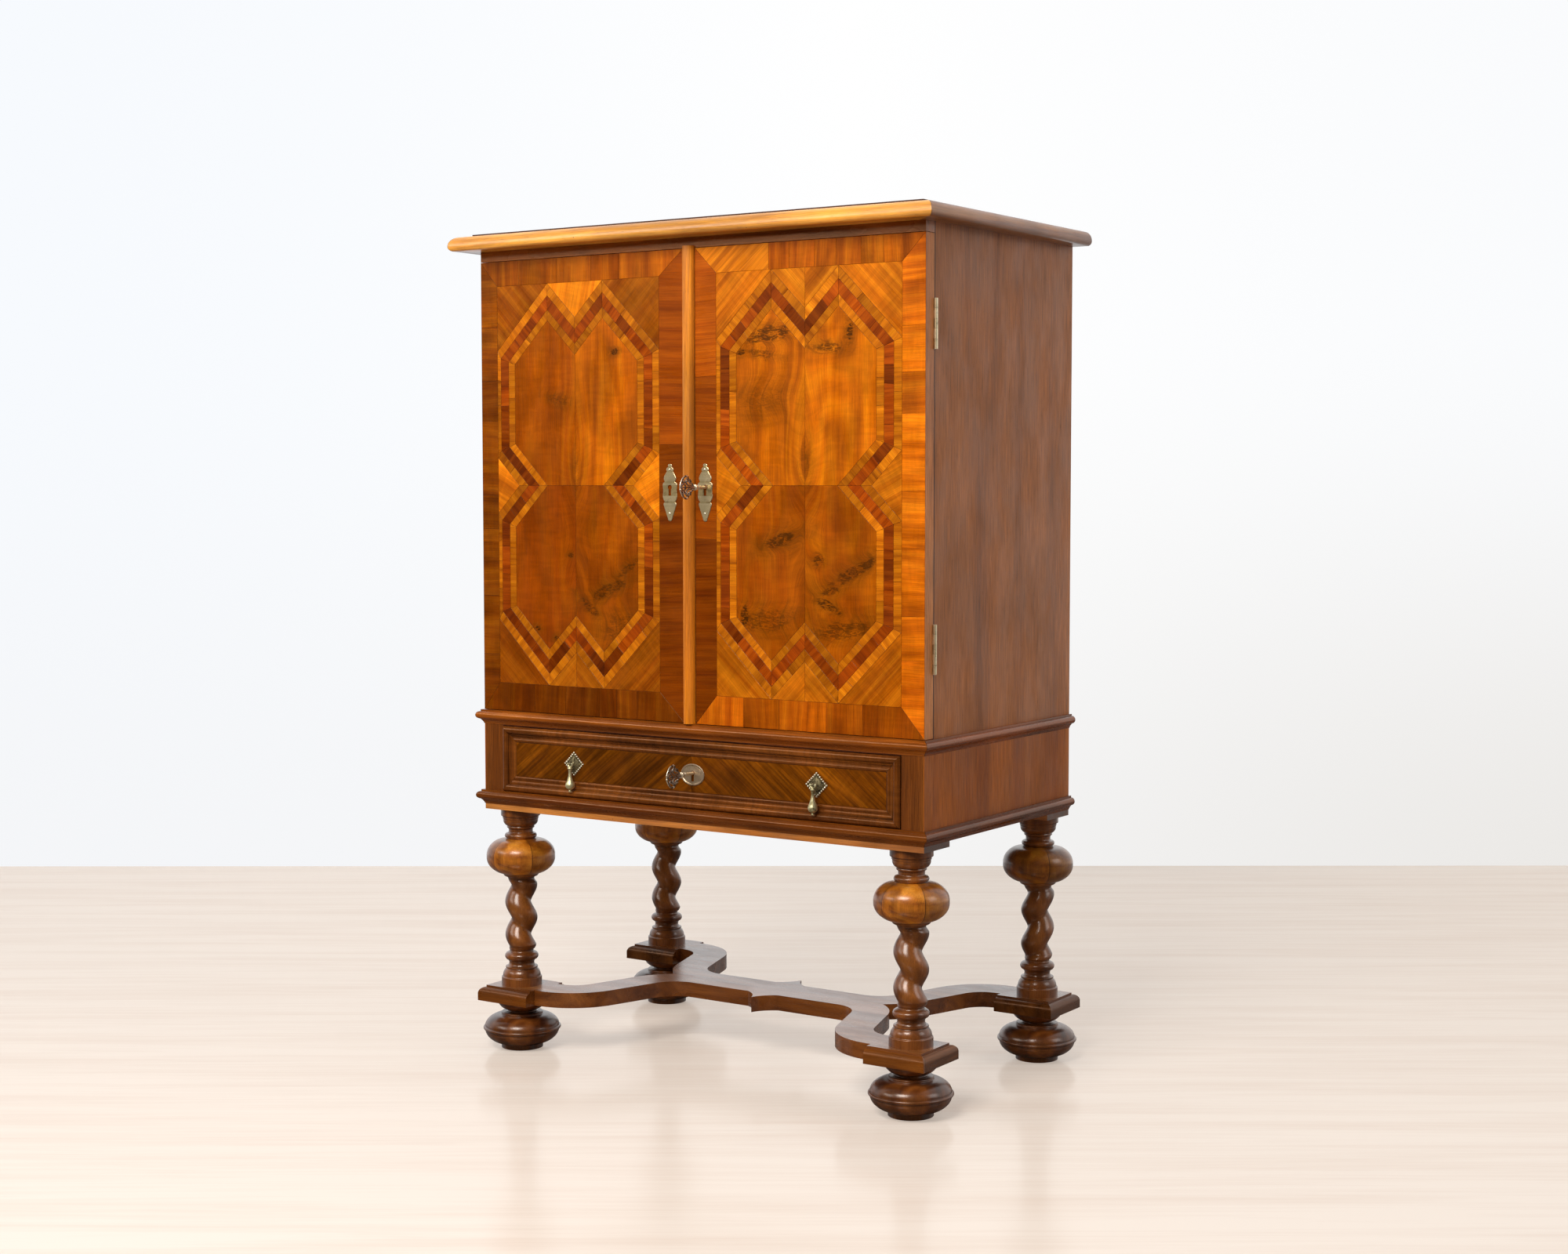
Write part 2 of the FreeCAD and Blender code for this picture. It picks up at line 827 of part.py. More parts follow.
def make_key(x, z, bit_y, tip_y):
    # The bow stands upright, in the plane that holds the shaft.
    tip = front_y - key_reach
    neck = tip + key_bow_length
    middle = tip + key_bow_length / 2.0
    across = key_bow_thickness / 2.0

    def flat(a, b):
        return vec(x - across, middle + a, z + b)

    def ring(half_y, half_z, centre, thick):
        outer = Part.Ellipse(vec(0, 0, 0), max(half_y, half_z), min(half_y, half_z)).toShape()
        face = Part.Face(Part.Wire(outer))
        if half_z > half_y:
            face.rotate(vec(0, 0, 0), vec(0, 0, 1), 90)
        solid = face.extrude(vec(0, 0, thick))
        solid.rotate(vec(0, 0, 0), vec(1, 1, 1), 120)
        solid.translate(vec(x - thick / 2.0, middle + centre[0], z + centre[1]))
        return solid

    half_y = key_bow_length / 2.0
    half_z = key_bow_height / 2.0
    rim = 3.6
    bow = ring(half_y, half_z, (0, 0), key_bow_thickness)
    bow = bow.cut(ring(half_y - rim, half_z - rim, (0, 0), key_bow_thickness + 2))
    for side in (-1, 1):
        loop = ring(9.4, 7.6, (3.5, side * 10.6), key_bow_thickness * 0.8)
        loop = loop.cut(ring(6.4, 4.6, (3.5, side * 10.6), key_bow_thickness + 2))
        curl = ring(5.6, 5.6, (-10.5, side * 6.4), key_bow_thickness * 0.8)
        curl = curl.cut(ring(3.0, 3.0, (-10.5, side * 6.4), key_bow_thickness + 2))
        bow = bow.fuse(loop).fuse(curl)
    spine = slab((half_y - 1, -1.8), [(half_y - 1, 1.8), (-half_y + 1, 1.8), (-half_y + 1, -1.8)], flat,
                 vec(key_bow_thickness, 0, 0))
    shaft = rod(key_shaft, vec(x, neck - 0.8, z), vec(x, bit_y[1], z))
    pilot = rod(key_pilot, vec(x, bit_y[1] - 1, z), vec(x, tip_y, z))
    collar = rod(key_shaft + 2.4, vec(x, neck - 0.6, z), vec(x, neck + 3.0, z))
    second = rod(key_shaft + 1.5, vec(x, neck + 8.0, z), vec(x, neck + 10.6, z))
    bit = box(x - key_bit_half, x + key_bit_half, bit_y[0], bit_y[1], z - key_bit_reach, z)
    bit = bit.cut(box(x - 2, x + 2, bit_y[0] + 3.0, bit_y[0] + 4.4,
                      z - key_bit_reach - 1, z - key_bit_reach + 4))
    return bow.fuse([spine, shaft, pilot, collar, second, bit])


def make_slide_bolt(door_end, inward):
    # The bolt stands back from the door's end when it is drawn, with its knob at half its length.
    y = slide_bolt_y()
    tip = vec(slide_bolt_x, y, door_end + inward * slide_bolt_setback)
    tail = tip + vec(0, 0, inward * slide_bolt_length)
    middle = (tip + tail) / 2.0
    return rod(slide_bolt_radius, tip, tail).fuse(rod(2.6, middle, middle + vec(0, 14, 0)))


def make_bolt_staples():
    staples = []
    y = slide_bolt_y()
    half = slide_bolt_radius + 4.0
    for door_end, inward in ((door_top, -1), (door_bottom, 1)):
        for setback in staple_setbacks:
            ends = (door_end + inward * setback, door_end + inward * (setback + staple_height))
            low, high = min(ends), max(ends)
            block = box(slide_bolt_x - half, slide_bolt_x + half, door_back, y + 5.0, low, high)
            bore = rod(slide_bolt_radius + 0.06,
                       vec(slide_bolt_x, y, low - 1), vec(slide_bolt_x, y, high + 1))
            staples.append(block.cut(bore))
    return staples


# Drawer

def drawer_bolt_span():
    y0 = front_y + panel_setback + 9.6
    return y0, y0 + bolt_thickness


def drawer_pocket():
    y0 = front_y + panel_setback + 8.0
    z1 = drawer_top - drawer_lock_below_top
    x0 = drawer_lock_x - drawer_lock_half
    x1 = drawer_lock_x + drawer_lock_half
    return x0, x1, y0, drawer_front_back, z1 - drawer_lock_height, z1


def make_drawer_front():
    y0 = front_y + panel_setback
    front = box(-drawer_half, drawer_half, y0, y0 + drawer_front_thickness, drawer_bottom, drawer_top)
    x0, x1, pocket_y, back, z0, z1 = drawer_pocket()
    front = front.cut(box(x0, x1, pocket_y, back + 1, z0, z1))
    bolt_y0, bolt_y1 = drawer_bolt_span()
    half = drawer_bolt_half + 0.2
    slot = box(drawer_lock_x - half, drawer_lock_x + half,
               bolt_y0 - 0.2, bolt_y1 + 0.2, z1 - 1, drawer_top + 1)
    return front.cut(slot).cut(keyhole(drawer_lock_x, drawer_lock_z, y0 - 1, pocket_y + 1, 0.4))


def drawer_frame_length(reach, length_place, length):
    # Bead, quirk, fillet and ogee down to the panel.
    # The first number is the distance in from the drawer's edge.
    start = (0, 0)
    steps = [
        (0, 4.4),
        (6.5, 9.0, 13.0, 4.4),
        (13.0, 3.2),
        (16.0, 3.2),
        (17.6, 1.5, 21.5, 1.2),
        (24.9, 2.4, panel_frame, 0),
    ]
    return slab(start, steps, length_place, length)


def make_drawer_frame():
    y = front_y + panel_setback
    long_reach = 2 * drawer_half
    height = drawer_top - drawer_bottom
    top = drawer_frame_length(long_reach,
                              lambda d, h: vec(-drawer_half, y - h, drawer_top - d), vec(long_reach, 0, 0))
    right = drawer_frame_length(height,
                                lambda d, h: vec(drawer_half - d, y - h, drawer_bottom), vec(0, 0, height))
    corner = vec(drawer_half, y, drawer_top)
    low_corner = vec(drawer_half, y, drawer_bottom)
    top = top.cut(upright_mitre(corner, -45)).cut(mirrored(upright_mitre(corner, -45)))
    right = right.cut(upright_mitre(corner, 135)).cut(upright_mitre(low_corner, -135))
    middle = vec(0, 0, (drawer_top + drawer_bottom) / 2.0)
    bottom = top.mirror(middle, vec(0, 0, 1))
    return [top, bottom, right, mirrored(right)]


def upright_mitre(corner, facing):
    # As mitre_cutter, for a frame that stands upright: the plane runs from front to back.
    block = Part.makeBox(beyond, 2 * beyond, 2 * beyond, vec(0, -beyond, -beyond))
    block.rotate(vec(0, 0, 0), vec(0, 1, 0), -facing)
    block.translate(corner)
    return block


def make_drawer_sides():
    inner = drawer_box_half - drawer_side_thickness
    right = box(inner, drawer_box_half, drawer_front_back, drawer_end, drawer_bottom, drawer_side_top)
    return [right, mirrored(right)]


def make_drawer_back():
    inner = drawer_box_half - drawer_side_thickness
    low = drawer_bottom_board_z + drawer_bottom_board
    return box(-inner, inner, drawer_end - drawer_back_board, drawer_end, low, drawer_side_top - 6.0)


def make_drawer_bottom():
    inner = drawer_box_half - drawer_side_thickness
    top = drawer_bottom_board_z + drawer_bottom_board
    return box(-inner, inner, drawer_front_back, drawer_end, drawer_bottom_board_z, top)


def make_drawer_lock():
    wall = 1.2
    x0, x1, y0, y1, z0, z1 = drawer_pocket()
    case = open_box(x0, x1, y0 + 0.2, y1, z0, z1, wall)
    bolt_y0, bolt_y1 = drawer_bolt_span()
    half = drawer_bolt_half + slot_play
    case = case.cut(box(drawer_lock_x - half, drawer_lock_x + half,
                        bolt_y0 - slot_play, bolt_y1 + slot_play, z1 - 5, z1 + 1))
    pilot = rod(key_pilot + pilot_fit,
                vec(drawer_lock_x, y1 - 3, drawer_lock_z), vec(drawer_lock_x, y1 + 1, drawer_lock_z))
    return case.cut(pilot)


def make_drawer_bolt():
    y0, y1 = drawer_bolt_span()
    low = drawer_lock_z + key_bit_reach + 1.4
    return box(drawer_lock_x - drawer_bolt_half, drawer_lock_x + drawer_bolt_half,
               y0, y1, low, drawer_top - 0.4)


def oval(half_x, half_z, y0, y1, x, z):
    face = Part.Face(Part.Wire(Part.Ellipse(vec(0, 0, 0), half_x, half_z).toShape()))
    solid = face.extrude(vec(0, 0, y1 - y0))
    solid.rotate(vec(0, 0, 0), vec(1, 0, 0), 90)
    solid.translate(vec(x, y1, z))
    return solid


def make_drawer_plate():
    y = front_y + panel_setback
    z = drawer_lock_z - 2.5
    plate = oval(25, 19, y - 1.2, y, drawer_lock_x, z)
    rim = oval(25, 19, y - 2.6, y - 1.2, drawer_lock_x, z).cut(oval(21.2, 15.2, y - 3, y, drawer_lock_x, z))
    return plate.fuse(rim).cut(keyhole(drawer_lock_x, drawer_lock_z, y - 5, y + 1, 0))


def diamond(x, z, y, half):
    corners = [vec(x + half, y, z), vec(x, y, z + half), vec(x - half, y, z), vec(x, y, z - half)]
    return Part.Wire(Part.makePolygon(corners + [corners[0]]).Edges)


def make_handle_plate():
    y = front_y + panel_setback
    z = handle_z - 1.0
    base = Part.Face(diamond(handle_x, z, y, handle_plate_half)).extrude(vec(0, -1.6, 0))
    relief = Part.makeLoft([diamond(handle_x, z, y - 1.6, handle_plate_half - 5),
                            diamond(handle_x, z, y - 4.6, 6.0)], True, True)
    stem = rod(2.0, vec(handle_x, y - 1, handle_z), vec(handle_x, handle_y, handle_z))
    eye = rod(eye_radius, vec(handle_x - eye_half_width, handle_y, handle_z),
              vec(handle_x + eye_half_width, handle_y, handle_z))
    hole = rod(drop_pin + drop_fit,
               vec(handle_x - 6, handle_y, handle_z), vec(handle_x + 6, handle_y, handle_z))
    return base.fuse([relief, stem, eye]).cut(hole)


def make_drop_pull():
    centre = vec(handle_x, handle_y, handle_z)
    ring = Part.makeTorus(drop_ring, drop_ring_wire, centre, vec(0, 1, 0))
    ring_top = handle_z + drop_ring_wire + 0.2
    ring = ring.cut(box(handle_x - 10, handle_x + 10, handle_y - 5, handle_y + 5, ring_top, handle_z + 10))
    pin = rod(drop_pin,
              vec(handle_x - drop_ring, handle_y, handle_z), vec(handle_x + drop_ring, handle_y, handle_z))
    body = turned((0, 0), [
        (3.2, 0),
        (4.6, -1.7, 3.4, -3.5),
        (3.0, -5.2),
        (2.5, -9.7),
        [(3.3, -15.7), (5.4, -23.2), (7.9, -29.2), (8.5, -32.9), (7.2, -37.1),
         (3.6, -40.1), (2.0, -41.1)],
        (2.9, -42.8, 1.0, -drop_length),
        (0, -drop_length),
    ], handle_x, handle_y, handle_z - drop_ring - drop_ring_wire + 0.6)
    return ring.fuse([pin, body])


save("top_panel", [make_raised_top()])
save("top_moulding", make_cornice())
save("case_top", [make_case_top()])
save("case_top_rail", [make_top_rail()])
save("case_side_right", [make_case_side()])
save("case_side_left", [mirrored(make_case_side())])
save("case_back", [make_case_back()])
save("case_floor", [make_case_floor()])
save("shelves", make_shelves())
save("shelf_ledgers", make_ledgers())
save("waist_moulding", make_waist_moulding())
save("frieze_side_right", [make_frieze_side()])
save("frieze_side_left", [mirrored(make_frieze_side())])
save("frieze_back", [make_frieze_back()])
save("dust_board", [make_dust_board()])
save("drawer_rail", [make_drawer_rail()])
save("drawer_runners", [make_runner(), mirrored(make_runner())])
save("stand_floor", [make_floor_board()])
save("base_moulding", make_base_moulding())
save("batten_front", [make_batten(front_y, front_y + batten_depth)])
save("batten_back", [make_batten(back_y - batten_depth, back_y)])

edging = []
for corner, place in leg_places().items():
    hand = -1 if corner == "back_right" else 1
    save("leg_" + corner, [make_leg(place[0], place[1], hand)])
    save("foot_" + corner, [make_foot(place[0], place[1])])
    edging += plinth_edging(place[0], place[1])
save("plinth_edging", edging)
save("stretcher_side_right", [make_stretcher_side()])
save("stretcher_side_left", [mirrored(make_stretcher_side())])
save("stretcher_bar", [make_stretcher_bar()])

case_hinges = make_case_hinges()
door_hinges = make_door_hinges()
save("case_hinge_leaves", case_hinges + [mirrored(leaf) for leaf in case_hinges])
save("door_right_panel", [make_right_door()])
save("door_right_hinge_leaves", door_hinges)
save("door_right_key_plate", [make_door_plate(lock_x)])
save("door_lock_case", [make_door_lock()])
save("door_lock_bolt", [make_door_bolt()])
save("door_key", [make_key(lock_x, lock_z, (door_back + 2.4, door_back + 9.4), door_back + 13.6)])
save("door_left_panel", [make_left_door()])
save("door_left_hinge_leaves", [mirrored(leaf) for leaf in door_hinges])
save("door_left_key_plate", [make_door_plate(left_plate_x)])
save("meeting_strip", [make_astragal()])
save("lock_keeper", [make_keeper()])
save("slide_bolt_staples", make_bolt_staples())
save("slide_bolt_top", [make_slide_bolt(door_top, -1)])
save("slide_bolt_bottom", [make_slide_bolt(door_bottom, 1)])

save("drawer_front", [make_drawer_front()])
save("drawer_front_frame", make_drawer_frame())
save("drawer_sides", make_drawer_sides())
save("drawer_back", [make_drawer_back()])
save("drawer_bottom", [make_drawer_bottom()])
save("drawer_key_plate", [make_drawer_plate()])
save("drawer_lock_case", [make_drawer_lock()])
save("drawer_lock_bolt", [make_drawer_bolt()])
save("drawer_key", [make_key(drawer_lock_x, drawer_lock_z,
                             (drawer_front_back - 11.0, drawer_front_back - 3.6),
                             drawer_front_back - 0.2)])
save("handle_plates", [make_handle_plate(), mirrored(make_handle_plate())])
save("drop_pull_right", [make_drop_pull()])
save("drop_pull_left", [mirrored(make_drop_pull())])
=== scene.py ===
import bpy
import math
import random
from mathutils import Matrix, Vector
from mathutils.geometry import tessellate_polygon


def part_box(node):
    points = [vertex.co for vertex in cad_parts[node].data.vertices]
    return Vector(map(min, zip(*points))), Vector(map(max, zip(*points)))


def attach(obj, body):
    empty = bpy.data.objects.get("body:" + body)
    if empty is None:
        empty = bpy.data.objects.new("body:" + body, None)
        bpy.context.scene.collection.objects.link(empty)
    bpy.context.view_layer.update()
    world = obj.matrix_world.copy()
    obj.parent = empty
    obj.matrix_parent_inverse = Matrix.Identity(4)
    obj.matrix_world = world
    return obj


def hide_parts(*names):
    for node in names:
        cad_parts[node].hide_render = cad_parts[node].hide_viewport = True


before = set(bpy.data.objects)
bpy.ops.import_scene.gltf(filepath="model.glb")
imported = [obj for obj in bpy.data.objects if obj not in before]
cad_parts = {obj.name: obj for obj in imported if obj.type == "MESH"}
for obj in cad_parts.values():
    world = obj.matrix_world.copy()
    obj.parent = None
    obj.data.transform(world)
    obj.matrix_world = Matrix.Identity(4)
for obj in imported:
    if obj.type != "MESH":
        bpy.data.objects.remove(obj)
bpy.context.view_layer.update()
mm = 0.001

# Faces that everything else is placed from
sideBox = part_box("case_side_right")
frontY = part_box("door_right_panel")[0].y
caseFrontY = sideBox[0].y
halfWidth = sideBox[1].x
drawerFaceY = round(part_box("drawer_front")[0].y / mm, 1)


# Node helpers

def feed(tree, node, inputs):
    # Sockets are linked, and plain values are set.
    for key, value in inputs.items():
        if isinstance(value, bpy.types.NodeSocket):
            tree.links.new(value, node.inputs[key])
        else:
            node.inputs[key].default_value = value


def addNode(tree, kind, inputs=None, **settings):
    made = tree.nodes.new(kind)
    for key, value in settings.items():
        setattr(made, key, value)
    feed(tree, made, inputs or {})
    return made


def maths(tree, operation, a, b=0.0, clamp=False):
    return addNode(tree, "ShaderNodeMath", {0: a, 1: b}, operation=operation, use_clamp=clamp).outputs[0]


def times(tree, a, b, clamp=False):
    return maths(tree, "MULTIPLY", a, b, clamp)


def plus(tree, a, b, clamp=False):
    return maths(tree, "ADD", a, b, clamp)


def minus(tree, a, b):
    return maths(tree, "SUBTRACT", a, b)


def unsigned(tree, a):
    return maths(tree, "ABSOLUTE", a)


def span(tree, value, low, high, toLow=0.0, toHigh=1.0):
    # Soft step: value from low to high becomes toLow to toHigh.
    inputs = {"Value": value, "From Min": low, "From Max": high, "To Min": toLow, "To Max": toHigh}
    return addNode(tree, "ShaderNodeMapRange", inputs, interpolation_type="SMOOTHSTEP").outputs["Result"]


def ramp(tree, value, stops):
    made = addNode(tree, "ShaderNodeValToRGB", {"Fac": value})
    elements = made.color_ramp.elements
    while len(elements) < len(stops):
        elements.new(0.5)
    for element, (position, colour) in zip(elements, stops):
        element.position = position
        element.color = (*colour, 1.0)
    return made.outputs["Color"]


def blend(tree, factor, a, b, how="MIX"):
    a, b = (c if isinstance(c, bpy.types.NodeSocket) else (*c, 1.0) for c in (a, b))
    inputs = {"Factor": factor, 6: a, 7: b}
    return addNode(tree, "ShaderNodeMix", inputs, data_type="RGBA", blend_type=how).outputs[2]


def either(tree, factor, a, b):
    # Vector a where the factor is 0, and b where it is 1.
    return addNode(tree, "ShaderNodeMix", {"Factor": factor, 4: a, 5: b}, data_type="VECTOR").outputs[1]


def shaded(tree, colour, shade):
    grey = addNode(tree, "ShaderNodeCombineColor", {0: shade, 1: shade, 2: shade}).outputs[0]
    return blend(tree, 1.0, colour, grey, "MULTIPLY")


def objectPlace(tree):
    return addNode(tree, "ShaderNodeTexCoord").outputs["Object"]


def storedGrain(tree):
    return addNode(tree, "ShaderNodeAttribute", attribute_name="grainPlace").outputs["Vector"]


def geometry(tree, name):
    return addNode(tree, "ShaderNodeNewGeometry").outputs[name]


def apart(tree, vector):
    return addNode(tree, "ShaderNodeSeparateXYZ", {0: vector}).outputs


def together(tree, x, y, z=0.0):
    return addNode(tree, "ShaderNodeCombineXYZ", {0: x, 1: y, 2: z}).outputs[0]


def noise(tree, place, scales, detail=3.0, roughness=0.55, distortion=0.0, offset=(0, 0, 0)):
    stretched = addNode(tree, "ShaderNodeMapping", {"Vector": place, "Scale": scales, "Location": offset})
    inputs = {"Vector": stretched.outputs["Vector"], "Scale": 1.0, "Detail": detail,
              "Roughness": roughness, "Distortion": distortion}
    return addNode(tree, "ShaderNodeTexNoise", inputs).outputs["Fac"]


def newMaterial(name):
    made = bpy.data.materials.new(name)
    made.use_nodes = True
    tree = made.node_tree
    return made, tree, tree.nodes["Principled BSDF"]


# Grain: coordinates run along it, across it and into it. Most of these give the coordinates, the
# seams between lengths and the part of the piece that takes painted light or shade.

mitreGap = 0.0004
frameMitreGap = 0.0003
grainShift = 3.0    # keeps two lengths that meet from sharing one figure


def grainFromObject(tree, axis):
    parts = apart(tree, objectPlace(tree))
    order = {"x": (0, 1, 2), "y": (1, 0, 2), "z": (2, 0, 1)}[axis]
    return together(tree, *(parts[i] for i in order))


def mitreLine(tree, side, gap):
    return span(tree, unsigned(tree, side), gap, gap * 3.0, 1.0, 0.0)


def mitredPlace(reach, faceY):
    # Three mitred lengths: grain along X in the front one and along Y in the side ones, which take painted
    # shade.
    def lay(tree):
        x, y, z = apart(tree, objectPlace(tree))
        side = minus(tree, minus(tree, unsigned(tree, x), reach), minus(tree, faceY, y))
        isSide = maths(tree, "GREATER_THAN", side, 0.0)
        along = together(tree, y, plus(tree, x, grainShift), z)
        return either(tree, isSide, together(tree, x, y, z), along), mitreLine(tree, side, mitreGap), isSide
    return lay


def framePlace(low, high):
    # Four mitred lengths that stand upright between two corners.
    middleZ, halfZ = (low.z + high.z) / 2, (high.z - low.z) / 2

    def lay(tree):
        x, y, z = apart(tree, objectPlace(tree))
        fromSide = minus(tree, high.x, unsigned(tree, x))
        fromEnd = minus(tree, halfZ, unsigned(tree, minus(tree, z, middleZ)))
        side = minus(tree, fromEnd, fromSide)
        upright = maths(tree, "GREATER_THAN", side, 0.0)
        along = together(tree, z, plus(tree, x, grainShift), y)
        grain = either(tree, upright, together(tree, x, z, y), along)
        return grain, mitreLine(tree, side, frameMitreGap), None
    return lay


def uprightPlace(tree):
    # Upright grain, with the outer faces told apart from the front edges, which lets them take painted
    # light.
    outside = unsigned(tree, apart(tree, objectPlace(tree))[0])
    return grainFromObject(tree, "z"), None, maths(tree, "GREATER_THAN", outside, halfWidth - 0.002)


def boardedPlace(tree):
    # Wide boards lying across, each with its own grain, and the joints between them.
    lowest, width = 0.6066, 0.2105
    x, y, z = apart(tree, objectPlace(tree))
    level = maths(tree, "DIVIDE", minus(tree, z, lowest), width)
    board = maths(tree, "FLOOR", level)
    shift = addNode(tree, "ShaderNodeTexWhiteNoise", {"W": board}, noise_dimensions="1D").outputs["Value"]
    grain = together(tree, plus(tree, x, times(tree, shift, 9.0)), z,
                     plus(tree, y, times(tree, shift, 5.0)))
    edge = unsigned(tree, minus(tree, minus(tree, level, board), 0.5))
    return grain, span(tree, edge, 0.4935, 0.497), None


def topPlace(tree):
    # Grain along X, with the thin standing edges told apart from the faces, so that the edges take painted
    # shade.
    upward = unsigned(tree, apart(tree, geometry(tree, "Normal"))[2])
    return grainFromObject(tree, "x"), None, maths(tree, "LESS_THAN", upward, 0.5)


def endsPlace(tree):
    # Grain along X, with the two ends told apart, so that they take painted shade.
    aside = unsigned(tree, apart(tree, geometry(tree, "Normal"))[0])
    return grainFromObject(tree, "x"), None, maths(tree, "GREATER_THAN", aside, 0.5)


def lowShadePlace(tree):
    # Upright grain, with the lower part told apart, so that it takes painted shade.
    height = apart(tree, objectPlace(tree))[2]
    return grainFromObject(tree, "z"), None, span(tree, height, 0.72, 1.20, 1.0, 0.0)


def gapShadowPlace(tree):
    # Upright grain, with the narrow line told apart where a side meets its door, so that it takes a painted
    # shadow of the gap.
    depth = apart(tree, objectPlace(tree))[1]
    return grainFromObject(tree, "z"), None, maths(tree, "LESS_THAN", depth, caseFrontY + 0.0026)


# Wood

woodDefaults = {
    "dark": (0.10, 0.03, 0.012), "mid": (0.20, 0.07, 0.025), "light": (0.32, 0.13, 0.05),
    "bands": (1.5, 26.0, 26.0), "bandWarp": 0.8, "bandSpread": (0.30, 0.52, 0.74),
    "fibre": 0.22, "fibreScale": (16.0, 750.0, 750.0),
    "rings": 0.0, "ringScale": (1.2, 8.0, 8.0), "ringCount": 60.0,
    "pores": 0.35, "poreScale": (70.0, 1500.0, 1500.0),
    "ripple": 0.0, "rippleScale": (45.0, 7.0, 7.0),
    "clouds": 0.25, "cloudScale": (5.0, 9.0, 9.0),
    "holes": 0.0, "holeScale": 28.0, "creaseShadeAndGrime": 0.0,
    "rough": 0.36, "roughPlay": 0.12, "gloss": 0.28, "glossTint": (1.0, 1.0, 1.0),
    "coat": 0.12, "coatRough": 0.18, "bump": 0.25,
}
woodStainsAndShade = {
    # colour of what darkens the wood, or that colour and how much of it shows; the crease colour is painted
    # shade in hollows, together with grime
    "creaseShadeAndGrime": (0.02, 0.006, 0.002),
    "veil": ((0.130, 0.036, 0.001), 0.75), "vein": ((0.105, 0.028, 0.001), 0.38),
    "crack": ((0.034, 0.010, 0.001), 0.86),
    "hole": (0.012, 0.006, 0.003),
    "seam": ((0.03, 0.009, 0.003), 0.75), "bulbJoint": ((0.03, 0.01, 0.003), 0.8),
}


def stain(tree, colour, kind, where):
    stainColour, share = woodStainsAndShade[kind]
    return blend(tree, times(tree, where, share), colour, stainColour)


def grainColour(tree, place, values):
    # Also gives the bands and the growth rings, which other looks follow.
    bands = noise(tree, place, values["bands"], 5.0, 0.6, values["bandWarp"])
    rings = None
    if values["rings"]:
        # Growth rings are the contour lines of a slow noise.
        slow = noise(tree, place, values["ringScale"], 1.5, 0.45, 0.3, (4.0, 1.0, 6.0))
        rings = maths(tree, "SINE", times(tree, slow, values["ringCount"]))
        bands = plus(tree, bands, times(tree, rings, values["rings"]))
    stops = list(zip(values["bandSpread"], (values["dark"], values["mid"], values["light"])))
    return ramp(tree, bands, stops), bands, rings


def grainShade(tree, values, clouds, fibre, pores, ripple):
    shade = span(tree, clouds, 0.30, 0.70, 1.0 - values["clouds"], 1.0 + values["clouds"] * 0.5)
    shade = times(tree, shade,
                  span(tree, fibre, 0.35, 0.65, 1.0 - values["fibre"], 1.0 + values["fibre"] * 0.4))
    shade = times(tree, shade, minus(tree, 1.0, times(tree, pores, values["pores"])))
    if ripple is not None:
        shade = times(tree, shade,
                      span(tree, ripple, 0.35, 0.65, 1.0 - values["ripple"], 1.0 + values["ripple"]))
    return shade


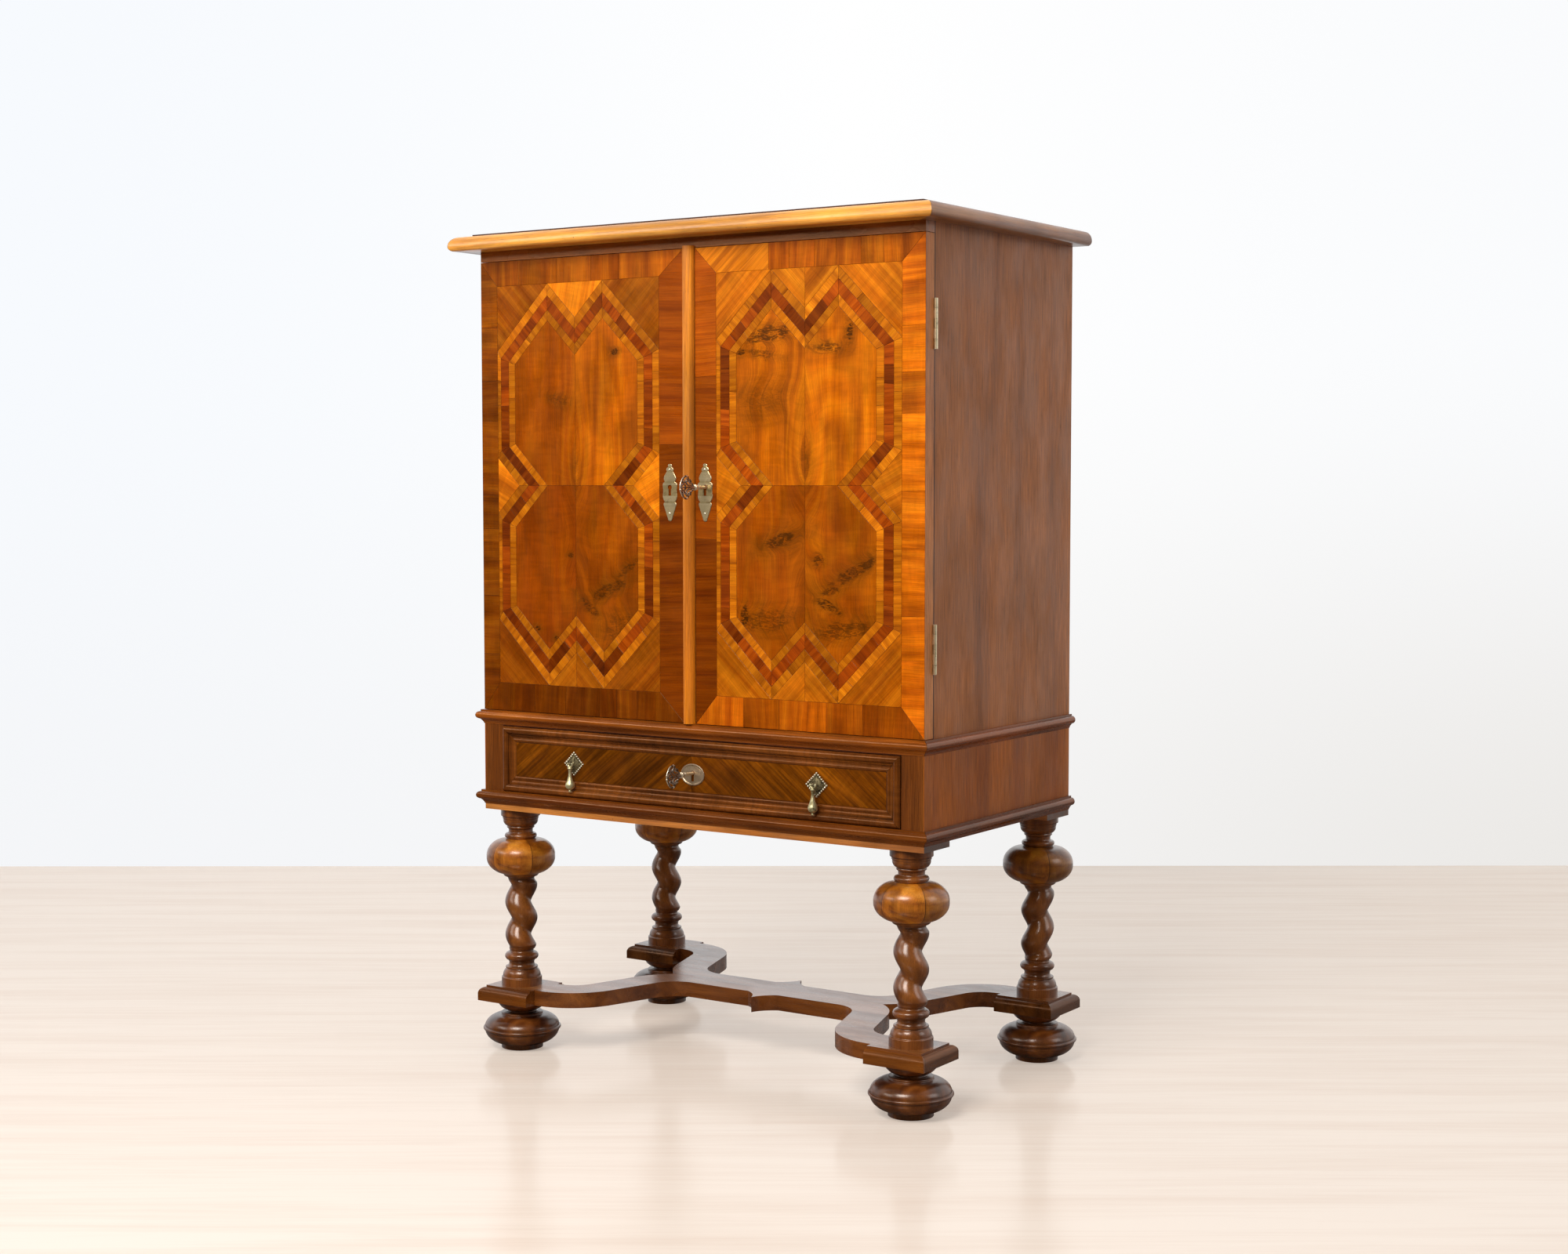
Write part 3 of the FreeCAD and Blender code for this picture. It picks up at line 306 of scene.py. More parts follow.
def wood(name, look, grain="z", pieceLook=False):
    # grain is an axis, "veneer" for the grain stored in the mesh, or one of the functions above.
    values = {**woodDefaults, **look}
    material, tree, surface = newMaterial(name)
    seam, paintedLightMask, marked = None, None, None
    if callable(grain):
        place, seam, paintedLightMask = grain(tree)
    else:
        place = storedGrain(tree) if grain == "veneer" else grainFromObject(tree, grain)
    if "marks" in values:
        place, *marked = addMarks(tree, place, values["marks"])

    colour, bands, rings = grainColour(tree, place, values)
    if "bulb" in values:
        colour = addBulb(tree, place, bands, colour, values["bulb"])
    clouds = noise(tree, place, values["cloudScale"], 3.0, 0.5, 0.4, (7.3, 1.9, 4.1))
    fibre = noise(tree, place, values["fibreScale"], 3.0, 0.6)
    pores = span(tree, noise(tree, place, values["poreScale"], 2.0, 0.5, 0.0, (3.0, 5.0, 2.0)), 0.60, 0.72)
    ripple = None
    if values["ripple"]:
        ripple = noise(tree, place, values["rippleScale"], 2.0, 0.5, 1.2, (1.0, 8.0, 3.0))
    shade = grainShade(tree, values, clouds, fibre, pores, ripple)
    if pieceLook:
        own = addNode(tree, "ShaderNodeAttribute", attribute_name="pieceLook").outputs["Color"]
        tone, red, seam = addNode(tree, "ShaderNodeSeparateColor", {0: own}).outputs
        toneSpread = values["toneSpread"]
        shade = times(tree, shade, span(tree, tone, 0.0, 1.0, 1.0 - toneSpread, 1.0 + toneSpread))
        colour = blend(tree, times(tree, red, values["redShare"]), colour, values["red"])
    colour = shaded(tree, colour, shade)
    # Painted shade with grime: hollows, found by pointiness, are darkened.
    if values["creaseShadeAndGrime"]:
        hollow = span(tree, geometry(tree, "Pointiness"), 0.43, 0.50, 1.0, 0.0)
        colour = blend(tree, times(tree, hollow, values["creaseShadeAndGrime"]), colour, woodStainsAndShade["creaseShadeAndGrime"])
    if marked:
        cracks, veil, near = marked
        vein = times(tree, span(tree, unsigned(tree, rings), 0.04, 0.34, 1.0, 0.0), near)
        for kind, where in (("veil", veil), ("vein", vein), ("crack", cracks)):
            colour = stain(tree, colour, kind, where)
    # Painted light and shade: the part that the grain function marks (sides, edges, ends, the lower part or
    # the line at a door) takes the tint, for how light falls there.
    if paintedLightMask is not None:
        colour = blend(tree, paintedLightMask, colour, blend(tree, 1.0, colour, values["paintedLightTint"], "MULTIPLY"))
    if values["holes"]:
        colour = blend(tree, wormHoles(tree, values), colour, woodStainsAndShade["hole"])
    if seam is not None:
        colour = stain(tree, colour, "seam", seam)

    worn = noise(tree, place, (9.0, 22.0, 22.0), 3.0, 0.6, 0.3, (2.0, 2.0, 9.0))
    smooth, dull = values["rough"] - values["roughPlay"] * 0.5, values["rough"] + values["roughPlay"]
    rough = plus(tree, span(tree, worn, 0.3, 0.7, smooth, dull), times(tree, pores, 0.12))
    height = minus(tree, times(tree, fibre, 0.35), times(tree, pores, 0.8))
    height = plus(tree, height, times(tree, clouds, 1.5))
    if seam is not None:
        height = minus(tree, height, times(tree, seam, 1.5))
    bump = addNode(tree, "ShaderNodeBump",
                   {"Strength": values["bump"], "Distance": 0.0006, "Height": height})
    coat = values["coat"]
    if "sideCoat" in values:
        coat = span(tree, paintedLightMask, 0.0, 1.0, coat, values["sideCoat"])
    feed(tree, surface, {"Base Color": colour, "Roughness": rough, "Normal": bump.outputs["Normal"],
                         "Specular IOR Level": values["gloss"],
                         "Specular Tint": (*values["glossTint"], 1.0), "Coat Weight": coat,
                         "Coat Roughness": values["coatRough"]})
    return material


def wormHoles(tree, values):
    cells = addNode(tree, "ShaderNodeTexVoronoi", {
        "Vector": objectPlace(tree), "Scale": values["holeScale"], "Randomness": 1.0})
    pit = span(tree, cells.outputs["Distance"], 0.018, 0.034, 1.0, 0.0)
    rare = addNode(tree, "ShaderNodeSeparateColor", {0: cells.outputs["Color"]}).outputs[0]
    return times(tree, pit, maths(tree, "LESS_THAN", rare, values["holes"]))


def addBulb(tree, place, bands, colour, bulb):
    # The bulb is lighter and glued up from blocks, whose joints run from pole to pole.
    x, y, z = apart(tree, storedGrain(tree))
    level = unsigned(tree, minus(tree, x, bulb["level"]))
    inside = span(tree, level, bulb["half"] - 0.0015, bulb["half"] + 0.0005, 1.0, 0.0)
    mottle = noise(tree, place, (26.0, 15.0, 15.0), 5.0, 0.6, 0.8, (5.0, 1.0, 1.0))
    mottle = plus(tree, times(tree, mottle, 0.75), times(tree, bands, 0.25))
    paler = ramp(tree, mottle, [(0.39, bulb["dark"]), (0.50, bulb["mid"]), (0.61, bulb["light"])])
    turn = maths(tree, "DIVIDE", maths(tree, "ARCTAN2", z, y), math.tau / bulb["blocks"])
    turn = plus(tree, turn, bulb["start"])
    block = maths(tree, "FLOOR", turn)
    tone = maths(tree, "SINE", plus(tree, times(tree, block, 2.4), bulb["seed"]))
    tone = span(tree, tone, -1.0, 1.0, 0.76 * bulb["tone"], 1.08 * bulb["tone"])
    edge = unsigned(tree, minus(tree, minus(tree, turn, block), 0.5))
    paler = stain(tree, shaded(tree, paler, tone), "bulbJoint", span(tree, edge, 0.487, 0.494))
    return blend(tree, inside, colour, paler)


def addMarks(tree, place, marks):
    # Each mark bends the grain round it and may darken it. Gives the bent place, the dark cores,
    # the veil round them and the reach of the veins.
    here = objectPlace(tree)
    ragged = noise(tree, here, (45.0, 45.0, 45.0), 4.0, 0.65)
    ragged = times(tree, minus(tree, ragged, 0.5), 1.5)
    push, dark, halo = None, None, None
    for x, z, length, height, tilt, bend, strength in marks:
        local = addNode(tree, "ShaderNodeMapping", {
            "Vector": here, "Location": (x * mm, frontY, z * mm), "Rotation": (0, -math.radians(tilt), 0),
            "Scale": (length * mm, 1.0, height * mm)}, vector_type="TEXTURE").outputs[0]
        reach = addNode(tree, "ShaderNodeVectorMath", {0: local}, operation="LENGTH").outputs["Value"]
        bent = times(tree, span(tree, reach, 0.0, 1.9, 1.0, 0.0), bend)
        push = bent if push is None else plus(tree, push, bent)
        if strength:
            rim = plus(tree, reach, ragged)
            spot = times(tree, span(tree, rim, 0.60, 1.0, 1.0, 0.0), strength)
            dark = spot if dark is None else maths(tree, "MAXIMUM", dark, spot)
            ring = times(tree, span(tree, rim, 0.6, 2.6, 1.0, 0.0), 0.50 + strength * 0.3)
            halo = ring if halo is None else maths(tree, "MAXIMUM", halo, ring)
    shifted = together(tree, times(tree, push, 0.6), push)
    bentPlace = addNode(tree, "ShaderNodeVectorMath", {0: place, 1: shifted}, operation="ADD").outputs[0]
    streaks = noise(tree, here, (75.0, 40.0, 210.0), 5.0, 0.65, 1.6)
    core = times(tree, dark, span(tree, streaks, 0.40, 0.56, 0.10, 1.0), True)
    veil = times(tree, halo, span(tree, streaks, 0.34, 0.62, 0.30, 1.0), True)
    return bentPlace, core, veil, span(tree, halo, 0.12, 0.55, 0.10, 1.0)


# Metal with a worn, darkened surface, and brighter edges that are partly rubbed wear and partly painted
# glints

metalLooks = {
    # bright and dark colour, roughness, tarnish, size of the patches, how far edges are brightened as
    # rubbed wear with painted glints
    "oldBrass": ((0.62, 0.50, 0.28), (0.16, 0.12, 0.06), 0.26, 0.4, 220.0, 0.6),
    "copperyBrass": ((0.60, 0.36, 0.22), (0.10, 0.05, 0.03), 0.25, 0.6, 220.0, 0.6),
    "oldIron": ((0.30, 0.28, 0.26), (0.06, 0.045, 0.035), 0.40, 0.7, 220.0, 0.6),
    "plateBrass": ((0.40, 0.305, 0.145), (0.17, 0.115, 0.045), 0.33, 0.5, 60.0, 1.0),
    "handleBrass": ((0.74, 0.66, 0.38), (0.20, 0.16, 0.07), 0.30, 0.40, 60.0, 0.6),
    "handleField": ((0.30, 0.24, 0.125), (0.05, 0.036, 0.016), 0.36, 0.7, 210.0, 0.0),
    "beadBrass": ((0.86, 0.76, 0.54), (0.30, 0.23, 0.13), 0.28, 0.25, 90.0, 0.6),
    "keyMetal": ((0.88, 0.73, 0.50), (0.20, 0.13, 0.075), 0.26, 0.30, 260.0, 0.8),
    "keyScrollMetal": ((0.22, 0.15, 0.09), (0.022, 0.014, 0.008), 0.34, 0.9, 240.0, 1.0),
    "ovalMetal": ((0.52, 0.385, 0.25), (0.24, 0.155, 0.09), 0.30, 0.45, 60.0, 0.6),
}


def metal(name):
    bright, dark, rough, tarnish, scale, edge = metalLooks[name]
    material, tree, surface = newMaterial(name)
    place = objectPlace(tree)
    patches = noise(tree, place, (scale, scale, scale), 4.0, 0.65, 0.5)
    fine = noise(tree, place, (scale * 7, scale * 7, scale * 7), 2.0, 0.6)
    pointiness = geometry(tree, "Pointiness")
    hollow = span(tree, pointiness, 0.40, 0.52, 1.0, 0.0)
    dirt = plus(tree, span(tree, patches, 0.62 - tarnish * 0.3, 0.80 - tarnish * 0.2), hollow, True)
    # Rubbed wear and painted glints: sharp edges, found by pointiness, are brightened.
    wearAndGlint = times(tree, span(tree, pointiness, 0.53, 0.60), edge)
    worn = tuple(min(1.0, c * 1.25 + 0.22) for c in bright)
    height = plus(tree, patches, times(tree, fine, 0.35))
    bump = addNode(tree, "ShaderNodeBump", {"Strength": 0.25, "Distance": 0.0004, "Height": height})
    feed(tree, surface, {
        "Base Color": blend(tree, wearAndGlint, blend(tree, dirt, bright, dark), worn), "Metallic": 0.82,
        "Roughness": span(tree, plus(tree, patches, times(tree, dirt, 0.3)), 0.2, 1.0, rough, rough + 0.3),
        "Normal": bump.outputs["Normal"]})
    return material


# Geometry helpers, in millimetres until the mesh is made

def lineUp(start, steps, pitch=1.0):
    # Two numbers end a straight line, four give an arc's middle and end, and a list is a smooth curve.
    path = [Vector(start)]
    for step in steps:
        here = path[-1]
        if isinstance(step, list):
            knots = [here] + [Vector(p) for p in step]
            knots = [2 * knots[0] - knots[1]] + knots + [2 * knots[-1] - knots[-2]]
            for a, b, c, d in zip(knots, knots[1:], knots[2:], knots[3:]):
                count = max(2, int((c - b).length / pitch))
                for i in range(1, count + 1):
                    t = i / count
                    square, cube = 2 * a - 5 * b + 4 * c - d, 3 * b - a - 3 * c + d
                    path.append(0.5 * ((2 * b) + (c - a) * t + square * t ** 2 + cube * t ** 3))
        elif len(step) == 4:
            path += arcPoints(here, Vector(step[:2]), Vector(step[2:]), pitch)
        else:
            end = Vector(step)
            count = max(1, int((end - here).length / pitch))
            path += [here.lerp(end, i / count) for i in range(1, count + 1)]
    return path


def arcPoints(a, b, c, pitch):
    # Arc from a through b to c, without a.
    d = 2 * (a.x * (b.y - c.y) + b.x * (c.y - a.y) + c.x * (a.y - b.y))
    squares = [p.length_squared for p in (a, b, c)]
    centreX = squares[0] * (b.y - c.y) + squares[1] * (c.y - a.y) + squares[2] * (a.y - b.y)
    centreY = squares[0] * (c.x - b.x) + squares[1] * (a.x - c.x) + squares[2] * (b.x - a.x)
    centre = Vector((centreX / d, centreY / d))
    angles = [math.atan2(p.y - centre.y, p.x - centre.x) for p in (a, b, c)]
    turn = math.tau if d > 0 else -math.tau
    sweep = (angles[2] - angles[0]) % turn
    radius = (a - centre).length
    count = max(3, int(abs(sweep) * radius / pitch))
    turns = [angles[0] + sweep * i / count for i in range(1, count + 1)]
    return [centre + radius * Vector((math.cos(t), math.sin(t))) for t in turns]


def softened(path, rounds=1):
    # Takes the hard edge off corners, as polish and wear do.
    for _ in range(rounds):
        path = [path[0]] + [(a + 2 * b + c) / 4 for a, b, c in zip(path, path[1:], path[2:])] + [path[-1]]
    return path


def inset(corners, depth):
    # Moves the sides of an anticlockwise outline in by the depth.
    result = []
    for i, corner in enumerate(corners):
        before = (corner - corners[i - 1]).normalized()
        after = (corners[(i + 1) % len(corners)] - corner).normalized()
        inward = Vector((-before.y - after.y, before.x + after.x))
        inward.normalize()
        reach = depth / max(0.25, abs(inward.dot(Vector((-after.y, after.x)))))
        result.append(corner + inward * reach)
    return result


def addPiece(name, points, faces, material, body, vectors=None, colours=None, sharp=None):
    # vectors are the stored grain, and colours hold tone, redness and seam of veneer.
    mesh = bpy.data.meshes.new(name)
    mesh.from_pydata([tuple(c * mm for c in p) for p in points], [], faces)
    mesh.validate()
    if vectors:
        stored = mesh.attributes.new("grainPlace", "FLOAT_VECTOR", "POINT")
        stored.data.foreach_set("vector", [c for v in vectors for c in v])
    if colours:
        stored = mesh.attributes.new("pieceLook", "FLOAT_COLOR", "POINT")
        stored.data.foreach_set("color", [c for v in colours for c in (*v, 1.0)])
    if sharp is not None:
        mesh.shade_smooth()
        mesh.set_sharp_from_angle(angle=math.radians(sharp))
    mesh.materials.append(material)
    made = bpy.data.objects.new(name, mesh)
    bpy.context.collection.objects.link(made)
    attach(made, body)
    return made


def gridFaces(rows, columns, closed=True, start=0):
    faces = []
    for i in range(rows - 1):
        for j in range(columns if closed else columns - 1):
            k = (j + 1) % columns
            near, far = start + i * columns, start + (i + 1) * columns
            faces.append((near + j, near + k, far + k, far + j))
    return faces


def turnedMesh(path, columns=64, centre=(0, 0), shift=None):
    # path is (radius, z) from the bottom up. shift gives each ring its own outline.
    points = []
    for radius, z in path:
        for j in range(columns):
            angle = math.tau * j / columns
            r = shift(angle, z, radius) if shift else radius
            points.append((centre[0] + r * math.cos(angle), centre[1] + r * math.sin(angle), z))
    faces = gridFaces(len(path), columns)
    faces.append(tuple(range(columns))[::-1])
    faces.append(tuple(range((len(path) - 1) * columns, len(path) * columns)))
    return points, faces


# Camera, floor, wall and light

shot = {"place": (2.3216, -3.4264, 1.0491), "azimuth": 33.754, "pitch": 3.611, "roll": 0.03, "lens": 52.35}
paleFloor = {
    "colour": (0.94, 0.815, 0.71), "grain": (0.88, 0.735, 0.625), "glow": 0.42,
    "bounce": (0.50, 0.42, 0.35), "mirrored": (0.10, 0.07, 0.05), "rough": 0.17, "gloss": 0.6,
}
paleWall = {
    # colours from left to right, in the upper and in the lower part
    "upper": [(0.0, (0.93, 0.955, 0.99)), (0.5, (1.0, 1.0, 1.0)), (1.0, (0.955, 0.965, 0.98))],
    "lower": [(0.0, (0.91, 0.92, 0.94)), (0.5, (0.92, 0.92, 0.92)), (1.0, (0.83, 0.81, 0.785))],
    "left": -2.2, "right": 2.6, "distance": 6.205, "height": 9,
}


def makeCamera():
    data = bpy.data.cameras.new("camera")
    data.lens = shot["lens"]
    data.sensor_width = 36.0
    data.clip_end = 60.0
    camera = bpy.data.objects.new("camera", data)
    camera.location = shot["place"]
    camera.rotation_euler = [math.radians(a) for a in (90.0 - shot["pitch"], shot["roll"], shot["azimuth"])]
    bpy.context.collection.objects.link(camera)
    bpy.context.scene.camera = camera


def flatSheet(name, corners, material):
    mesh = bpy.data.meshes.new(name)
    mesh.from_pydata(corners, [], [list(range(len(corners)))])
    made = bpy.data.objects.new(name, mesh)
    made.data.materials.append(material)
    bpy.context.collection.objects.link(made)
    return made


def squareToView(tree):
    # Coordinates across the view, into its depth and up.
    rotation = (0, 0, -math.radians(shot["azimuth"]))
    return addNode(tree, "ShaderNodeMapping",
                   {"Vector": objectPlace(tree), "Rotation": rotation}).outputs[0]


def floorMaterial():
    # The camera sees a pale floor with a soft shadow, and everything else a dimmer one.
    material, tree, surface = newMaterial("paleFloor")
    turned = squareToView(tree)
    streaks = noise(tree, turned, (0.9, 14.0, 1.0), 5.0, 0.65, 0.4)
    fine = noise(tree, turned, (3.0, 90.0, 1.0), 3.0, 0.6, 0.2)
    shade = plus(tree, times(tree, streaks, 0.7), times(tree, fine, 0.3))
    colour = ramp(tree, shade, [(0.36, paleFloor["grain"]), (0.56, paleFloor["colour"])])
    path = addNode(tree, "ShaderNodeLightPath").outputs
    dim = blend(tree, path["Is Glossy Ray"], paleFloor["bounce"], paleFloor["mirrored"])
    tree.links.new(blend(tree, path["Is Camera Ray"], dim, colour), surface.inputs["Base Color"])
    feed(tree, surface, {"Roughness": paleFloor["rough"], "Specular IOR Level": paleFloor["gloss"]})
    glow = addNode(tree, "ShaderNodeEmission", {"Color": colour, "Strength": 0.97}).outputs[0]
    share = times(tree, path["Is Camera Ray"], paleFloor["glow"])
    final = addNode(tree, "ShaderNodeMixShader", {0: share, 1: surface.outputs[0], 2: glow}).outputs[0]
    tree.links.new(final, tree.nodes["Material Output"].inputs["Surface"])
    return material


def wallMaterial():
    # White for what looks at it or reflects it, and a plain pale wall for the light that falls on it.
    material, tree, surface = newMaterial("paleWall")
    feed(tree, surface, {"Base Color": (0.9, 0.9, 0.9, 1.0), "Roughness": 0.9})
    path = addNode(tree, "ShaderNodeLightPath").outputs
    mirrored = maths(tree, "MAXIMUM", path["Is Glossy Ray"], path["Is Transmission Ray"])
    seen = maths(tree, "MAXIMUM", path["Is Camera Ray"], mirrored)
    turned = squareToView(tree)
    across, _, height = apart(tree, turned)
    across = span(tree, across, paleWall["left"], paleWall["right"])
    upper, lower = ramp(tree, across, paleWall["upper"]), ramp(tree, across, paleWall["lower"])
    tone = blend(tree, span(tree, height, -0.1, 1.5), lower, upper)
    glow = addNode(tree, "ShaderNodeEmission", {"Color": tone, "Strength": 1.0}).outputs[0]
    front = addNode(tree, "ShaderNodeMixShader", {0: seen, 1: surface.outputs[0], 2: glow}).outputs[0]
    clear = addNode(tree, "ShaderNodeBsdfTransparent").outputs[0]
    final = addNode(tree, "ShaderNodeMixShader",
                    {0: geometry(tree, "Backfacing"), 1: front, 2: clear}).outputs[0]
    tree.links.new(final, tree.nodes["Material Output"].inputs["Surface"])
    return material


def makeStage():
    reach = 14.0
    square = [(-reach, -reach, 0), (reach, -reach, 0), (reach, reach, 0), (-reach, reach, 0)]
    flatSheet("floor", square, floorMaterial())
    turn = math.radians(shot["azimuth"])
    forward = Vector((-math.sin(turn), math.cos(turn), 0))
    across = Vector((math.cos(turn), math.sin(turn), 0))
    middle = Vector((shot["place"][0], shot["place"][1], 0)) + forward * paleWall["distance"]
    left, right = middle - across * reach, middle + across * reach
    rise = Vector((0, 0, paleWall["height"]))
    wall = [left, right, right + rise, left + rise]
    flatSheet("backWall", [tuple(c) for c in wall], wallMaterial())


lamps = {
    # where it stands, where it points, size, power, colour
    "keySoftbox": ((0.45, -3.0, 3.1), (0.0, -0.1, 0.85), (1.7, 1.3), 132.0, (1.0, 0.985, 0.955)),
    "leftSoftbox": ((-2.4, -3.2, 2.5), (0.0, -0.1, 0.8), (2.2, 1.0), 36.0, (1.0, 0.98, 0.94)),
    "sideSoftbox": ((5.2, 0.9, 3.2), (0.2, 0.0, 0.8), (2.4, 2.4), 60.0, (0.97, 0.98, 1.0)),
}
roomLight = {"front": 0.035, "back": 0.85, "fill": 0.36, "seen": 0.95, "colour": (0.97, 0.985, 1.0, 1.0)}


def makeLamps():
    for name, (stand, aim, size, power, colour) in lamps.items():
        data = bpy.data.lights.new(name, "AREA")
        data.shape = "RECTANGLE"
        data.size, data.size_y = size
        data.energy = power
        data.color = colour
        lamp = bpy.data.objects.new(name, data)
        lamp.location = stand
        lamp.rotation_euler = (Vector(aim) - Vector(stand)).to_track_quat("-Z", "Y").to_euler()
        bpy.context.collection.objects.link(lamp)
    world = bpy.data.worlds.new("studio")
    bpy.context.scene.world = world
    world.use_nodes = True
    tree = world.node_tree
    # What is reflected: a dim room in front and a pale wall at the back.
    facing = apart(tree, addNode(tree, "ShaderNodeTexCoord").outputs["Generated"])[1]
    mirrored = span(tree, facing, -0.35, 0.45, roomLight["front"], roomLight["back"])
    path = addNode(tree, "ShaderNodeLightPath").outputs
    strength = addNode(tree, "ShaderNodeMix",
                       {0: path["Is Glossy Ray"], 2: roomLight["fill"], 3: mirrored}).outputs[0]
    strength = plus(tree, strength,
                    times(tree, path["Is Camera Ray"], roomLight["seen"] - roomLight["fill"]))
    feed(tree, tree.nodes["Background"], {"Strength": strength, "Color": roomLight["colour"]})


bpy.context.scene.view_settings.view_transform = "Standard"
makeCamera()
makeStage()
makeLamps()
print("camera, stage and lamps made")


# Finishes of the carried-over pieces

sideLook = {
    "dark": (0.18, 0.048, 0.012), "mid": (0.34, 0.103, 0.021), "light": (0.42, 0.138, 0.033),
    "bands": (0.45, 9.0, 9.0), "bandWarp": 0.9, "bandSpread": (0.30, 0.47, 0.72), "rings": 0.018,
    "ringScale": (0.4, 3.0, 3.0), "clouds": 0.16, "fibre": 0.36, "pores": 0.5,
    "rough": 0.38, "gloss": 0.36, "glossTint": (1.0, 0.80, 0.58), "coat": 0.04, "coatRough": 0.22,
}
# Painted shadow: the case sides' narrow line at the doors is tinted dark, and the top board's standing
# edges are tinted darker as painted shade.
caseSideLook = {**sideLook, "paintedLightTint": (0.16, 0.12, 0.11)}
topBoardLook = {**sideLook, "paintedLightTint": (0.22, 0.17, 0.15)}
doorLook = {
    **sideLook, "dark": (0.30, 0.09, 0.03), "mid": (0.52, 0.185, 0.055), "light": (0.60, 0.235, 0.075),
}
# Painted light: the frieze's outer faces are tinted lighter than its front edges.
friezeLook = {
    **sideLook, "dark": (0.10, 0.024, 0.003), "mid": (0.17, 0.045, 0.006), "light": (0.23, 0.070, 0.010),
    "gloss": 0.2, "coat": 0.05, "paintedLightTint": (1.9, 1.75, 1.4),
}
# Painted shade: the cornice's side lengths are tinted darker.
corniceLook = {
    "dark": (0.46, 0.165, 0.020), "mid": (0.83, 0.350, 0.044), "light": (0.97, 0.49, 0.080),
    "bands": (2.2, 34.0, 34.0), "rough": 0.36, "gloss": 0.6, "coat": 0.5, "coatRough": 0.26,
    "paintedLightTint": (0.38, 0.29, 0.22), "holes": 0.25,
}
# Painted shade: the strip's lower part is tinted darker.
stripOfCase = {
    **corniceLook, "dark": (0.30, 0.075, 0.004), "mid": (0.60, 0.180, 0.008), "light": (0.82, 0.29, 0.016),
    "glossTint": (1.0, 0.75, 0.5), "bands": (1.6, 30.0, 30.0), "clouds": 0.4, "cloudScale": (2.6, 3.0, 3.0),
    "coat": 0.15, "paintedLightTint": (0.82, 0.72, 0.30), "sideCoat": 0.0,
}
# Painted shade: the battens' ends are tinted darker.
battenLook = {
    **corniceLook, "dark": (0.24, 0.068, 0.008), "mid": (0.41, 0.128, 0.016), "light": (0.55, 0.20, 0.034),
    "coat": 0.2, "paintedLightTint": (0.22, 0.20, 0.24),
}
# Painted shade: the side lengths of the waist and base mouldings are tinted darker and less blue.
waistLook = {
    "dark": (0.11, 0.023, 0.002), "mid": (0.26, 0.062, 0.004), "light": (0.40, 0.110, 0.009),
    "bands": (2.5, 40.0, 40.0), "rough": 0.22, "roughPlay": 0.06, "gloss": 0.9,
    "glossTint": (1.0, 0.52, 0.26), "coat": 0.05, "coatRough": 0.10, "bump": 0.15,
    "paintedLightTint": (0.9, 0.75, 0.5), "holes": 0.12,
}
baseLook = {
    **waistLook, "dark": (0.07, 0.014, 0.002), "mid": (0.15, 0.036, 0.003), "light": (0.25, 0.068, 0.006),
    "gloss": 0.7,
}
topRailLook = {**waistLook, "coat": 0.1}
redLook = {
    "dark": (0.05, 0.010, 0.003), "mid": (0.11, 0.024, 0.005), "light": (0.20, 0.050, 0.009),
    "rough": 0.34, "holes": 0.1,
}
# Painted shade with grime darkens the frame's hollows.
frameLook = {
    **redLook, "dark": (0.060, 0.014, 0.002), "mid": (0.14, 0.036, 0.004), "light": (0.23, 0.066, 0.008),
    "bands": (3.0, 50.0, 50.0), "ripple": 0.16, "rippleScale": (110.0, 9.0, 9.0),
    "rough": 0.26, "roughPlay": 0.06, "gloss": 0.8, "glossTint": (1.0, 0.48, 0.22),
    "coat": 0.04, "coatRough": 0.08, "bump": 0.08, "creaseShadeAndGrime": 1.0,
}
turnedLook = {
    "dark": (0.10, 0.024, 0.004), "mid": (0.24, 0.065, 0.010), "light": (0.38, 0.125, 0.020),
    "bands": (3.0, 30.0, 30.0), "rough": 0.26, "gloss": 0.5, "coat": 0.45, "coatRough": 0.12,
    "holes": 0.25, "clouds": 0.35,
}
# Painted shade: the stretcher's standing edges are tinted darker.
stretcherLook = {
    **turnedLook, "dark": (0.10, 0.028, 0.005), "mid": (0.20, 0.064, 0.012), "light": (0.32, 0.115, 0.024),
    "clouds": 0.2, "coat": 0.72, "coatRough": 0.24, "paintedLightTint": (0.80, 0.70, 0.55), "sideCoat": 0.08,
}
# Painted shade: the plinths' side lengths are tinted darker.
plinthLook = {
    **turnedLook, "dark": (0.05, 0.012, 0.002), "mid": (0.14, 0.038, 0.004), "light": (0.27, 0.080, 0.010),
    "clouds": 0.2, "rough": 0.26, "gloss": 0.6, "glossTint": (1.0, 0.52, 0.28), "coat": 0.04,
    "coatRough": 0.2, "paintedLightTint": (0.6, 0.6, 0.6),
}
innerLook = {
    "dark": (0.30, 0.17, 0.08), "mid": (0.42, 0.26, 0.14), "light": (0.52, 0.36, 0.21),
    "rough": 0.6, "roughPlay": 0.15, "coat": 0.0, "pores": 0.45,
}

